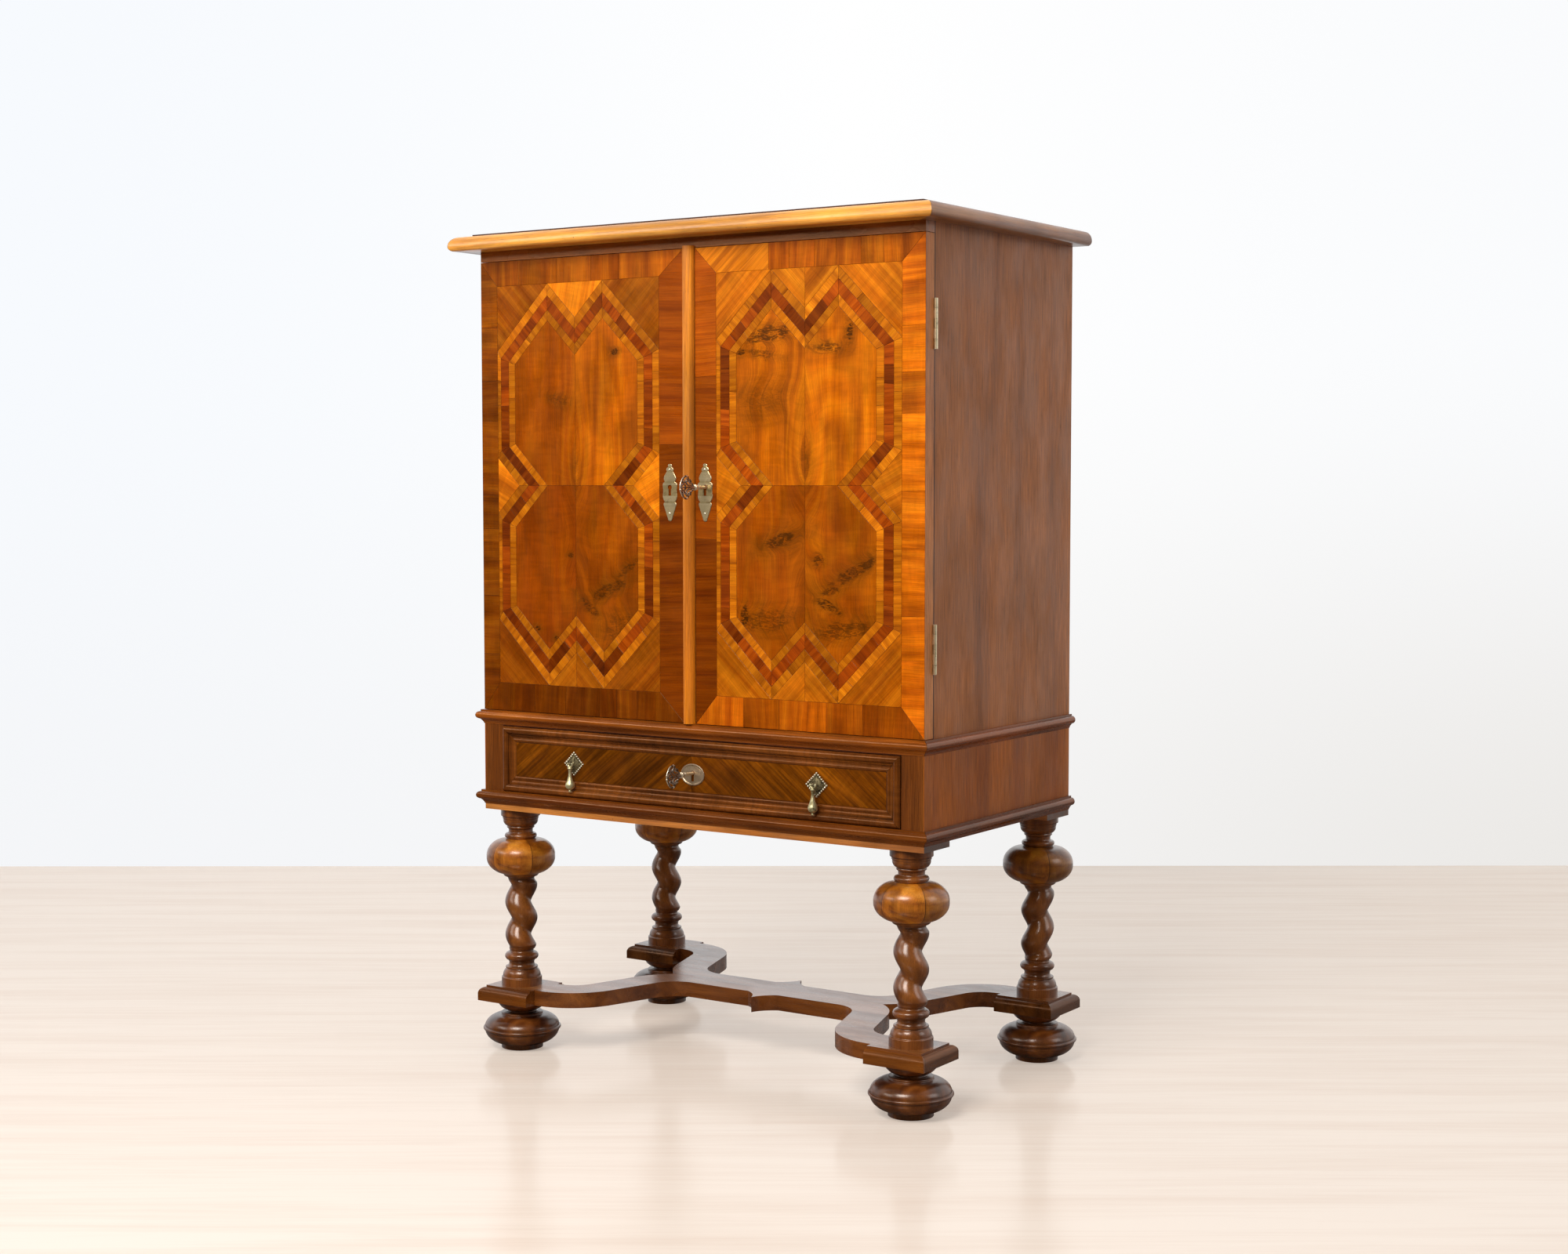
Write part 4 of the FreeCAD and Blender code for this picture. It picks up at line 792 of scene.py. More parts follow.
corniceCorner = mitredPlace(halfWidth + 0.038, frontY - 0.0477)
mouldingCorner = mitredPlace(halfWidth, frontY)
turnedNodes = [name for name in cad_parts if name.startswith(("leg_", "foot_"))]
woodFinishes = {
    # material: look, grain, frame pieces
    "sideBoards": (caseSideLook, gapShadowPlace, ["case_side_right", "case_side_left"]),
    "friezeBoards": (friezeLook, uprightPlace, ["frieze_side_right", "frieze_side_left"]),
    "topBoard": (topBoardLook, topPlace, ["top_panel", "case_floor"]),
    "topMouldingWood": (corniceLook, corniceCorner, ["top_moulding"]),
    "waistMouldingWood": (waistLook, mouldingCorner, ["waist_moulding"]),
    "baseMouldingWood": (baseLook, mouldingCorner, ["base_moulding"]),
    "darkRail": (redLook, "x", ["drawer_rail", "dust_board"]),
    "topRail": (topRailLook, "x", ["case_top_rail"]),
    "doorBoard": (doorLook, "z", ["door_right_panel", "door_left_panel"]),
    "stripWood": (stripOfCase, lowShadePlace, ["meeting_strip"]),
    "legWood": (turnedLook, "z", turnedNodes),
    "stretcherWood": (stretcherLook, topPlace,
                      ["stretcher_bar", "stretcher_side_right", "stretcher_side_left"]),
    "plinthWood": (plinthLook, mouldingCorner, ["plinth_edging"]),
    "battenWood": (battenLook, endsPlace, ["batten_front", "batten_back"]),
    "drawerWood": (redLook, "x", ["drawer_front"]),
    "frameWood": (frameLook, framePlace(*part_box("drawer_front_frame")), ["drawer_front_frame"]),
    "plainWood": (innerLook, "x", ["case_top", "shelves", "shelf_ledgers", "drawer_runners", "stand_floor",
                                   "drawer_back", "drawer_bottom"]),
    "sideWood": (innerLook, "y", ["drawer_sides"]),
    "backBoards": ({**innerLook, "bump": 0.5}, boardedPlace, ["case_back", "frieze_back"]),
}
metalFinishes = {
    "oldBrass": ["case_hinge_leaves", "door_right_hinge_leaves", "door_left_hinge_leaves",
                 "door_right_key_plate", "door_left_key_plate", "handle_plates", "drop_pull_right",
                 "drop_pull_left"],
    "copperyBrass": ["door_key", "drawer_key", "drawer_key_plate"],
    "oldIron": ["door_lock_case", "door_lock_bolt", "lock_keeper", "slide_bolt_staples",
                "slide_bolt_top", "slide_bolt_bottom", "drawer_lock_case", "drawer_lock_bolt"],
}


def setFinish(material, names):
    for name in names:
        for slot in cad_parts[name].material_slots:
            slot.material = material
    return len(names)


finished = 0
for name, (look, grain, names) in woodFinishes.items():
    finished += setFinish(wood(name, look, grain), names)
for name, names in metalFinishes.items():
    finished += setFinish(metal(name), names)
print("finishes set on", finished, "frame pieces")


# Door veneers

veneer = {
    "seam": 0.5, "proud": 0.3, "sunk": 0.05, "middleZ": 1045.0, "waist": 130.0,
    "bandTop": 1450.4, "panelTop": 1405.8, "panelBottom": 684.2, "bandBottom": 633.3,
    "offsets": (0.0, 15.0, 33.0, 46.5), "reaches": (None, 172.0, 153.5, 139.0),
}
cuts = {
    # usual length of the pieces in each strip
    "darkStrips": 46, "lightStrips": 60, "outerBand": 95, "topBand": 62, "lowBand": 55, "stile": 330,
}
doors = {
    # Edges in X, the middle of the figure, and how far its peaks stand to the left and right of it.
    # quarters: tone and redness of upper right, lower right, upper left and lower left.
    # golden: where the bright length over the panel ends. The tones are ranges along the bands.
    "left": {
        "outer": -469.2, "panelOuter": -430.9, "panelInner": -64.3, "meeting": -12.0, "middle": -251.0,
        "peaks": (62.7, 62.3), "seed": 11, "tone": -0.17, "body": "door_left", "golden": None,
        "quarters": ((0.58, 0.25), (0.33, 0.55), (0.38, 0.55), (0.28, 0.8)), "dull": 0.7, "hipTone": 1.1,
        "outerTones": (0.04, 0.24), "topTones": (0.27, 0.45), "lowTones": (0.01, 0.09),
    },
    "right": {
        "outer": 469.2, "panelOuter": 425.5, "panelInner": 57.1, "meeting": 12.8, "middle": 238.0,
        "peaks": (67.9, 65.8), "seed": 23, "tone": 0.04, "body": "door_right", "golden": 165.0,
        "quarters": ((0.68, 0.10), (0.40, 0.50), (0.62, 0.12), (0.37, 0.65)), "dull": 0.1, "hipTone": 0.55,
        "outerTones": (0.68, 0.96), "topTones": (0.36, 0.62), "lowTones": (0.32, 0.70),
    },
}
marks = {
    # x, z, half length, half height, tilt, push of the grain, darkness
    "left": [
        (-161.8, 1280.0, 9, 6, 10, 0.010, 1.5), (-291, 1199, 26, 9, -12, 0.008, 0.45),
        (-262, 921, 8, 5, 0, 0.006, 0.9), (-176, 861, 46, 12, 24, 0.016, 0.75),
        (-134, 900, 30, 8, 34, 0.010, 0.65), (-221, 830, 30, 9, -38, 0.012, 0.75),
        (-146, 795, 44, 26, 15, 0.020, 0.40), (-340, 787, 9, 7, 0, 0.008, 1.3),
        (-296, 770, 8, 6, 0, 0.006, 1.2), (-250, 1085, 26, 90, 0, 0.030, 0.0),
        (-250, 1066, 8, 28, 0, 0.016, 0.08), (-250, 985, 22, 80, 0, -0.026, 0.0),
    ],
    "right": [
        (326.5, 1298.5, 8, 19, -6, 0.012, 1.6), (166, 1299, 62, 15, 9, 0.018, 0.85),
        (109, 1270, 10, 7, 0, 0.008, 1.7), (146, 1267, 38, 7, -10, 0.008, 0.6),
        (284, 1273, 34, 8, -4, 0.008, 0.75), (190, 954, 40, 13, 18, 0.018, 0.85),
        (160, 817, 62, 21, 3, 0.020, 0.55), (115, 821, 10, 20, 0, 0.010, 1.0),
        (265, 921, 13, 9, 20, 0.008, 0.8), (338, 905, 60, 12, 26, 0.018, 0.80),
        (285, 845, 30, 9, -26, 0.012, 0.95), (289, 870, 22, 7, 10, 0.008, 0.75),
        (316, 806, 62, 17, 8, 0.016, 0.60), (155, 1190, 46, 26, 12, 0.020, 0.22),
        (238, 1100, 30, 90, 0, 0.040, 0.0), (238, 1082, 11, 34, 0, 0.020, 0.10),
        (238, 985, 22, 80, 0, -0.030, 0.0),
    ],
}


def figureOutline(door, level):
    # Half outlines of the star figure, right and left, from top to bottom at one of the four offsets.
    rise = veneer["offsets"][level] * math.sqrt(2)
    top, middleZ, waist = veneer["panelTop"], veneer["middleZ"], veneer["waist"]
    halves = []
    for side, peak in ((1, door["peaks"][1]), (-1, door["peaks"][0])):
        outerIsHere = (door["panelOuter"] > door["middle"]) == (side > 0)
        edge = door["panelOuter"] if outerIsHere else door["panelInner"]
        reach = veneer["reaches"][level] or abs(edge - door["middle"])
        shoulder = (reach, top + peak - reach - rise)
        hip = (reach, middleZ + reach - waist + rise)
        upper = [(0, top - peak - rise), (peak, top - rise), shoulder, hip, (waist - rise, middleZ)]
        whole = upper + [(x, 2 * middleZ - z) for x, z in upper[-2::-1]]
        halves.append([Vector((door["middle"] + side * x, z)) for x, z in whole])
    return halves


def turnedLeft(corners):
    # The same corners, anticlockwise.
    area = sum(a.x * b.y - a.y * b.x for a, b in zip(corners, corners[1:] + corners[:1]))
    return corners if area > 0 else corners[::-1]


def leaf(corners, grain, tone, red=0.0, flip=False):
    # One cut of veneer: grain is its angle, and a flipped one is turned over from left to right.
    corners = turnedLeft([Vector(c) for c in corners])
    return {"corners": corners, "grain": grain, "tone": tone, "red": red, "flip": flip}


def cutAcross(dice, a, b, innerA, innerB, length, grain, tones, redness=(0.0, 0.5), fall=0.0):
    # One mitred strip between the lines a-b and innerA-innerB, cut across into short lengths. fall
    # makes each length darker than the one before it.
    along = (b - a).normalized()
    reach = (b - a).length
    ends = [(innerA - a).dot(along), (innerB - a).dot(along)]
    low, high = max(0.0, ends[0]), min(reach, ends[1])
    joints = []
    reached = low + length * dice.uniform(0.5, 1.1)
    while reached < high - length * 0.4:
        joints.append(reached)
        reached += length * dice.uniform(0.6, 1.5)
    pieces = []
    depth = (innerA - a) - along * ends[0]
    previous = (a, innerA)
    for joint in joints + [None]:
        if joint is None:
            following = (b, innerB)
        else:
            slant = dice.uniform(-1.5, 1.5)
            following = (a + along * joint, a + depth + along * (joint + slant))
        corners = [previous[0], following[0], following[1], previous[1]]
        pieces.append(leaf(corners, grain + dice.uniform(-4, 4), dice.uniform(*tones) - fall * len(pieces),
                           dice.uniform(*redness)))
        previous = following
    return pieces


def layVeneer(name, door, pieces, material, faceY=None):
    # Each leaf has its own stretch of grain and a sunk edge, so that its seams show.
    faceY = frontY / mm if faceY is None else faceY
    dice = random.Random(name)
    points, faces, vectors, colours = [], [], [], []
    for one in pieces:
        outer = one["corners"]
        offset = Vector((dice.uniform(0, 9), dice.uniform(0, 9), dice.uniform(0, 9)))
        angle = math.radians(one["grain"])
        base = len(points)
        rings = ((outer, veneer["sunk"], 1.0), (inset(outer, veneer["seam"]), veneer["proud"], 0.0))
        for ring, height, seam in rings:
            for x, z in ring:
                points.append((x, faceY - height, z))
                across = door["middle"] - x if one["flip"] else x - door["middle"]
                up = z - veneer["middleZ"]
                u = across * math.cos(angle) + up * math.sin(angle)
                v = -across * math.sin(angle) + up * math.cos(angle)
                vectors.append((u * mm + offset.x, v * mm + offset.y, offset.z))
                colours.append((one["tone"], one["red"], seam))
        n = len(outer)
        faces += [(base + i, base + (i + 1) % n, base + n + (i + 1) % n, base + n + i) for i in range(n)]
        faces.append(tuple(range(base + n, base + 2 * n)))
    made = addPiece(name, points, faces, material, door["body"], vectors, colours)
    return made


fieldLook = {
    "dark": (0.25, 0.052, 0.001), "mid": (0.40, 0.090, 0.0010), "light": (0.52, 0.142, 0.002),
    "bands": (1.8, 19.0, 19.0), "bandWarp": 1.0, "bandSpread": (0.28, 0.50, 0.74),
    "rings": 0.095, "ringScale": (1.3, 7.0, 7.0), "ringCount": 76.0, "fibre": 0.16,
    "pores": 0.2, "clouds": 0.30, "cloudScale": (9.0, 16.0, 16.0), "ripple": 0.07,
    "rippleScale": (80.0, 12.0, 12.0), "toneSpread": 0.50, "redShare": 0.7,
    "red": (0.36, 0.05, 0.001), "rough": 0.28, "gloss": 0.15, "glossTint": (1.0, 0.62, 0.28),
    "coat": 0.02, "coatRough": 0.12, "bump": 0.2,
}
stripLook = {
    **fieldLook, "bands": (3.0, 60.0, 60.0), "ringScale": (2.0, 24.0, 24.0), "ringCount": 40.0,
    "clouds": 0.18, "ripple": 0.0, "redShare": 0.35, "fibre": 0.2,
}
veneerLooks = {
    "lightStrips": {
        **stripLook, "dark": (0.32, 0.076, 0.002), "mid": (0.475, 0.127, 0.003),
        "light": (0.60, 0.183, 0.005), "toneSpread": 0.26,
    },
    "darkStrips": {
        **stripLook, "dark": (0.14, 0.019, 0.001), "mid": (0.235, 0.036, 0.001),
        "light": (0.33, 0.060, 0.002), "toneSpread": 0.42,
    },
    "crossband": {
        **stripLook, "dark": (0.25, 0.049, 0.001), "mid": (0.40, 0.088, 0.0015),
        "light": (0.55, 0.145, 0.003), "bands": (1.5, 34.0, 34.0), "ringScale": (1.2, 16.0, 16.0),
        "clouds": 0.3, "ripple": 0.06, "toneSpread": 0.60, "redShare": 0.5,
    },
    "stiles": {
        **stripLook, "dark": (0.20, 0.031, 0.001), "mid": (0.30, 0.055, 0.001),
        "light": (0.38, 0.078, 0.002), "bands": (1.5, 60.0, 60.0), "ringScale": (1.2, 26.0, 26.0),
        "rings": 0.04, "clouds": 0.15, "toneSpread": 0.45,
    },
    "triangles": {
        **stripLook, "dark": (0.32, 0.068, 0.001), "mid": (0.48, 0.122, 0.0025),
        "light": (0.64, 0.190, 0.005), "bands": (1.6, 44.0, 44.0), "ringScale": (1.2, 16.0, 16.0),
        "clouds": 0.25, "ripple": 0.08, "toneSpread": 0.55,
    },
}


def layStrips(side, door, dice, outlines):
    # Three strips follow the figure: light, dark and light.
    for name, outer, inner in (("OuterStrips", 0, 1), ("DarkStrips", 1, 2), ("InnerStrips", 2, 3)):
        kind = "darkStrips" if name == "DarkStrips" else "lightStrips"
        tones = (0.05, 1.05) if kind == "darkStrips" else (0.15, 0.95)
        tones = tuple(t + door["tone"] for t in tones)
        pieces = []
        for half in (0, 1):
            a, b = outlines[outer][half], outlines[inner][half]
            for i in range(len(a) - 1):
                run = math.degrees(math.atan2(a[i + 1].y - a[i].y, a[i + 1].x - a[i].x))
                pieces += cutAcross(dice, a[i], a[i + 1], b[i], b[i + 1], cuts[kind], run + 90, tones,
                                    (0.0, 0.3))
        layVeneer(f"{side}Door{name}", door, pieces, veneerMaterials[kind])


def layField(side, door, outlines, field):
    # Four quarters of the figure, turned over from left to right.
    middle = Vector((door["middle"], veneer["middleZ"]))
    quarters = []
    for half in (0, 1):
        line = outlines[3][half]
        for upper, part in ((True, line[:5]), (False, line[4:])):
            tone, red = door["quarters"][2 * half + (not upper)]
            quarters.append(leaf([middle] + part, 90, tone, red, flip=half == 1))
    layVeneer(f"{side}DoorField", door, quarters, field)


def layTriangles(side, door, dice, outlines):
    # Triangles between the figure and the bands. The left door's upper ones are laid the other way.
    top, bottom = veneer["panelTop"], veneer["panelBottom"]
    middle, tone, dull = door["middle"], door["tone"], door["dull"]
    fills = []
    for half, sign in ((0, 1), (1, -1)):
        valley, peak, shoulder, hip, waist, lowHip, lowShoulder, lowPeak, lowValley = outlines[0][half]
        lean = -45 * sign
        upperTone = 0.5 + 1.5 * tone + dice.uniform(-0.1, 0.1)
        upperLean = lean + 90 if side == "left" else lean
        fills.append(leaf([peak, shoulder, (shoulder.x, top)], upperLean, upperTone, dull))
        lowTone = 0.38 + 1.5 * tone + dice.uniform(-0.1, 0.1)
        fills.append(leaf([lowPeak, lowShoulder, (lowShoulder.x, bottom)], -lean, lowTone, dull + 0.4))
        fills.append(leaf([hip, waist, lowHip], -lean * 0.6, door["hipTone"] + tone, 0.0))
        if side == "right":
            fills.append(leaf([valley, peak, (middle, top)], -lean, 0.5 + tone, 0.0))
        fills.append(leaf([lowValley, lowPeak, (middle, bottom)], lean, 0.5 + tone, dull))
    if side == "left":
        # One bright leaf over the whole upper valley
        fills.append(leaf([outlines[0][0][0], outlines[0][0][1], outlines[0][1][1]], 78, 1.3, 0.0))
    layVeneer(f"{side}DoorTriangles", door, fills, veneerMaterials["triangles"])


def layBands(side, door, dice):
    # Crossbanding round the panel, mitred at the corners, and the darker stile at the meeting line.
    def corner(x, z):
        return Vector((door[x], veneer[z]))

    outerTop, outerLow = corner("outer", "bandTop"), corner("outer", "bandBottom")
    meetTop, meetLow = corner("meeting", "bandTop"), corner("meeting", "bandBottom")
    panelTop, panelLow = corner("panelOuter", "panelTop"), corner("panelOuter", "panelBottom")
    innerTop, innerLow = corner("panelInner", "panelTop"), corner("panelInner", "panelBottom")
    bands = cutAcross(dice, outerLow, outerTop, panelLow, panelTop, cuts["outerBand"], 0,
                      door["outerTones"], (0.1, 0.5))
    topEnd, innerEnd = meetTop, innerTop
    if door["golden"]:
        topEnd, innerEnd = corner("golden", "bandTop"), corner("golden", "panelTop")
        golden = leaf([topEnd, meetTop, innerTop, innerEnd], 40, 0.85, 0.0)
        layVeneer(f"{side}DoorGoldenLength", door, [golden], veneerMaterials["lightStrips"])
    bands += cutAcross(dice, outerTop, topEnd, panelTop, innerEnd, cuts["topBand"], 90,
                       door["topTones"], (0, 0.5))
    bands += cutAcross(dice, meetLow, outerLow, innerLow, panelLow, cuts["lowBand"], 90, door["lowTones"],
                       (0.3, 0.9))
    layVeneer(f"{side}DoorCrossband", door, bands, veneerMaterials["crossband"])
    stileTones = (0.58 + door["tone"], 0.66 + door["tone"])
    stile = cutAcross(dice, meetTop, meetLow, innerTop, innerLow, cuts["stile"], 0, stileTones,
                      (0.0, 0.4), 0.29)
    layVeneer(f"{side}DoorStile", door, stile, veneerMaterials["stiles"])


veneerMaterials = {name: wood(name, look, "veneer", pieceLook=True) for name, look in veneerLooks.items()}
for side, door in doors.items():
    dice = random.Random(door["seed"])
    outlines = [figureOutline(door, level) for level in range(len(veneer["offsets"]))]
    field = wood(f"{side}FieldVeneer", {**fieldLook, "marks": marks[side]}, "veneer", pieceLook=True)
    layStrips(side, door, dice, outlines)
    layField(side, door, outlines, field)
    layTriangles(side, door, dice, outlines)
    layBands(side, door, dice)
print("door veneers laid")


# Turned legs and feet

legShape = {
    "top": 448.0, "base": 118.0, "pin": 12.0, "pinLow": 78.0, "pinTop": 466.0, "columns": 96,
    "twistTop": 318.0, "twistBottom": 184.0, "radius": 23.8, "away": 6.0, "ease": 9.0, "pitch": 61.6,
    "turn": 33.75, "level": 305.5, "fullness": 0.74, "ringStep": 1.2, "rings": 110,
}
legs = {
    # hand of the twist, where the joints of the bulb's blocks start, and the bulb's brightness, which is
    # lowered on the back right leg as painted shade
    "front_right": (1, 0.53, 1.0), "front_left": (1, 0.42, 1.0),
    "back_right": (-1, 0.60, 0.6), "back_left": (1, 0.35, 1.0),
}
outlineStep = 0.7
# Half outlines as radius and height: the leg's upper part below its top, its lower part over its
# base, and the bun foot
legUpper = lineUp((36.5, 0), [
    (36.5, -13.0), (33.4, -15.0), (33.4, -18.6), (32.2, -19.2), (31.6, -25.5, 26.8, -31.6),
    (24.6, -32.8), (25.6, -34.8, 24.0, -36.8), (22.4, -38.0), (22.3, -44.2), (24.8, -46.2),
    (29.7, -50.4, 27.6, -54.8), (26.6, -56.0), (30.6, -57.0),
    [(44.4, -60.0), (54.0, -66.4), (60.0, -74.0), (62.9, -82.0), (63.4, -88.5), (62.9, -96.5),
     (59.7, -104.6), (53.6, -111.8), (44.6, -117.9), (34.4, -121.6)],
    (32.9, -122.8), (31.4, -125.4, 26.2, -127.0), (24.6, -130.0)], outlineStep)
legLower = lineUp((22.6, 66), [
    (21.9, 63.6, 25.0, 61.0), (27.2, 59.8), (31.0, 53.8, 28.0, 47.6), (26.4, 47.0),
    (23.2, 40.8, 26.0, 35.0), (29.6, 34.2), (29.8, 31.8), (28.4, 30.8), (33.4, 24.0, 34.9, 16.2),
    (37.2, 14.8), (37.4, 0)], outlineStep)
footLine = lineUp((38.4, 0), [
    (38.4, 9), (40, 9), [(53.5, 13.6), (63, 21.0), (67.6, 28.5), (68.6, 34.4)], (72, 37.4, 68.8, 40.4),
    [(68.2, 44.6), (64.9, 50.6), (58.6, 56.2), (49.6, 60.4), (39, 62.0)],
    (38.4, 62.6), (38.4, 66.0), (37.0, 67.0), (28.6, 67.4), (26.8, 69.4, 28.4, 71.6), (30.2, 72),
    (41.8, 80, 45.8, 90)], outlineStep)


def twistOutline(hand):
    # One full round strand winds round the shaft, with a narrow groove between its turns, and fades
    # out at both ends of the twist.
    shape = legShape

    def outline(angle, z, radius):
        z -= 0.001    # keeps the end rings round
        if not shape["twistBottom"] < z < shape["twistTop"]:
            return radius
        ease = min(1.0, min(shape["twistTop"] - z, z - shape["twistBottom"]) / shape["ease"])
        turned = angle - math.radians(shape["turn"] + hand * (shape["level"] - z) / shape["pitch"] * 360.0)
        swell = ((1 + math.cos(turned)) / 2) ** shape["fullness"]
        return radius + shape["away"] * ease * (2 * swell - 1)
    return outline


def upperFirst(outline, base):
    # An outline drawn from the top down, lifted to its base and turned to run from the bottom up.
    return softened([Vector((radius, base + z)) for radius, z in outline][::-1])


def turnedPiece(name, node, line, material, shift=None):
    # One turned piece in the middle of its node's box, with the grain along its axis.
    low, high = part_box(node)
    centre = ((low.x + high.x) / 2 / mm, (low.y + high.y) / 2 / mm)
    points, faces = turnedMesh(line, legShape["columns"], centre, shift)
    vectors = [(z * mm, (x - centre[0]) * mm, (y - centre[1]) * mm) for x, y, z in points]
    made = addPiece(name, points, faces, material, "root", vectors, sharp=38)
    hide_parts(node)


def makeLeg(corner, hand, material):
    shape = legShape
    heights = [shape["twistBottom"] + shape["ringStep"] * i for i in range(1, shape["rings"] + 1)]
    shaft = [Vector((shape["radius"], z)) for z in heights]
    line = upperFirst(legLower, shape["base"]) + shaft + upperFirst(legUpper, shape["top"])
    lowPin = [Vector((shape["pin"], z)) for z in (shape["pinLow"], shape["base"])]
    topPin = [Vector((shape["pin"], z)) for z in (shape["top"], shape["pinTop"])]
    name = "turnedLeg" + camelName(corner)
    turnedPiece(name, "leg_" + corner, lowPin + line + topPin, material, twistOutline(hand))


def camelName(corner):
    return corner.replace("_", " ").title().replace(" ", "")


# Painted shade with grime darkens the hollows of the legs and feet.
legLook = {
    "dark": (0.065, 0.015, 0.003), "mid": (0.165, 0.046, 0.007), "light": (0.29, 0.095, 0.016),
    "bands": (6.0, 22.0, 22.0), "bandSpread": (0.30, 0.50, 0.72), "rings": 0.05,
    "ringScale": (3.0, 12.0, 12.0), "ringCount": 40.0, "clouds": 0.4,
    "cloudScale": (12.0, 20.0, 20.0), "holes": 0.22, "holeScale": 34.0, "rough": 0.34,
    "roughPlay": 0.08, "gloss": 0.3, "glossTint": (1.0, 0.6, 0.35), "coat": 0.85,
    "coatRough": 0.24, "creaseShadeAndGrime": 0.9, "bump": 0.10,
}
footLook = {
    **legLook, "dark": (0.050, 0.011, 0.003), "mid": (0.125, 0.032, 0.005), "light": (0.22, 0.066, 0.011),
}
bulbLook = {
    "level": 0.3605, "half": 0.0338, "blocks": 5, "seed": 4.07,
    "dark": (0.19, 0.044, 0.003), "mid": (0.42, 0.126, 0.008), "light": (0.62, 0.23, 0.022),
}
footWood = wood("footWood", footLook, "veneer")
for number, (corner, (hand, start, tone)) in enumerate(legs.items(), 1):
    look = {**legLook, "bulb": {**bulbLook, "start": start, "tone": tone}}
    makeLeg(corner, hand, wood(f"legWood{number}", look, "veneer"))
    turnedPiece("bunFoot" + camelName(corner), "foot_" + corner, softened(footLine), footWood)
print("legs and feet turned")


# Brass and keys

def frontTurned(path, centre, columns=32):
    # Turned about an axis that points out of the front. path is (radius, reach to the front).
    points, faces = turnedMesh(path, columns)
    return [(centre[0] + x, centre[1] - z, centre[2] + y) for x, y, z in points], faces


def join(parts):
    # Several meshes as one.
    points, faces = [], []
    for ownPoints, ownFaces in parts:
        start = len(points)
        points += ownPoints
        faces += [tuple(start + i for i in face) for face in ownFaces]
    return points, faces


def tube(path, radii, closed=False, sides=10):
    # Round wire along a path. A closed one joins its last ring to the nearest turn of its first.
    points = []
    count = len(path)
    side = None
    for i, here in enumerate(path):
        ahead = path[(i + 1) % count] if closed or i < count - 1 else here
        behind = path[i - 1] if closed or i > 0 else here
        along = (ahead - behind).normalized()
        if side is None:
            side = along.orthogonal().normalized()
        side = (side - along * side.dot(along)).normalized()
        other = along.cross(side)
        for j in range(sides):
            angle = math.tau * j / sides
            points.append(tuple(here + (side * math.cos(angle) + other * math.sin(angle)) * radii[i]))
    faces = gridFaces(count, sides)
    last = (count - 1) * sides
    if closed:
        offset = min(range(sides), key=lambda k: (Vector(points[last]) - Vector(points[k])).length)
        faces += [(last + j, last + (j + 1) % sides, (j + 1 + offset) % sides, (j + offset) % sides)
                  for j in range(sides)]
    else:
        faces.append(tuple(range(sides))[::-1])
        faces.append(tuple(range(last, last + sides)))
    return points, faces


def plateWithHole(outline, hole, faceY, thickness, bevel):
    # Flat plate on a front face: walls, a bevelled edge, and a front with a hole through it.
    outer = turnedLeft(outline)
    inner = inset(outer, bevel)
    hole = turnedLeft(hole)[::-1]
    levels = ((outer, 0.0), (outer, thickness - bevel * 0.6), (inner, thickness))
    points = [(x, faceY - height, z) for ring, height in levels for x, z in ring]
    faces = gridFaces(3, len(outer))
    start = len(points)
    front = [Vector((x, z, 0)) for x, z in inner]
    opening = [Vector((x, z, 0)) for x, z in hole]
    points += [(v.x, faceY - thickness, v.y) for v in front + opening]
    for triangle in tessellate_polygon([front, opening]):
        a, b, c = [(front + opening)[i] for i in triangle]
        flip = (b - a).cross(c - a).z < 0
        faces.append(tuple(start + i for i in (reversed(triangle) if flip else triangle)))
    rim = start + len(front)
    back = len(points)
    points += [(v.x, faceY, v.y) for v in opening]
    n = len(opening)
    faces += [(rim + i, rim + (i + 1) % n, back + (i + 1) % n, back + i) for i in range(n)]
    return points, faces


keyhole = {"radius": 4.3, "slot": 2.7, "drop": 14.4, "steps": 28}


def keyholeOutline(x, z):
    # Round at the top, with a straight slot hanging from it.
    radius, slot, steps = keyhole["radius"], keyhole["slot"], keyhole["steps"]
    start = math.asin(slot / radius)
    turns = [start + (math.tau - 2 * start) * i / steps for i in range(steps + 1)]
    arc = [Vector((x - radius * math.sin(t), z - radius * math.cos(t))) for t in turns]
    return arc + [Vector((x + slot, z - keyhole["drop"])), Vector((x - slot, z - keyhole["drop"]))]


def dome(centre, radius, height, columns=20):
    angles = [math.radians(a) for a in range(0, 86, 12)]
    path = [Vector((radius * math.cos(a), height * math.sin(a))) for a in angles]
    return frontTurned(path, centre, columns)


plateShape = {
    "z": 1042.0, "right": 34.0, "left": -41.0, "thickness": 1.6, "bevel": 0.9,
    "nails": (-45.0, 30.6), "nailRadius": 2.3, "nailHeight": 1.6, "nailSunk": 0.2,
}
# Right half of the scalloped plate, from its lower point to its top
plateRight = lineUp((0, -58.6), [
    [(3.0, -57.6), (4.6, -54.6), (6.0, -50.4), (9.8, -40.8), (12.4, -33.7), (13.9, -29.5),
     (13.0, -26.9)],
    (11.0, -25.6),
    [(13.4, -22.0), (15.5, -16.0), (14.8, -10.0), (14.5, -5.0), (15.0, 0.0), (15.7, 4.2), (14.4, 7.2)],
    (11.0, 9.4), [(12.4, 12.5), (13.2, 15.6), (11.8, 19.5), (9.4, 23.5), (7.4, 26.4)],
    (6.4, 27.4), [(7.7, 29.8), (6.9, 32.6), (4.8, 34.6)],
    (3.2, 35.6), [(4.3, 37.8), (3.0, 39.8), (0, 40.4)]], 0.6)


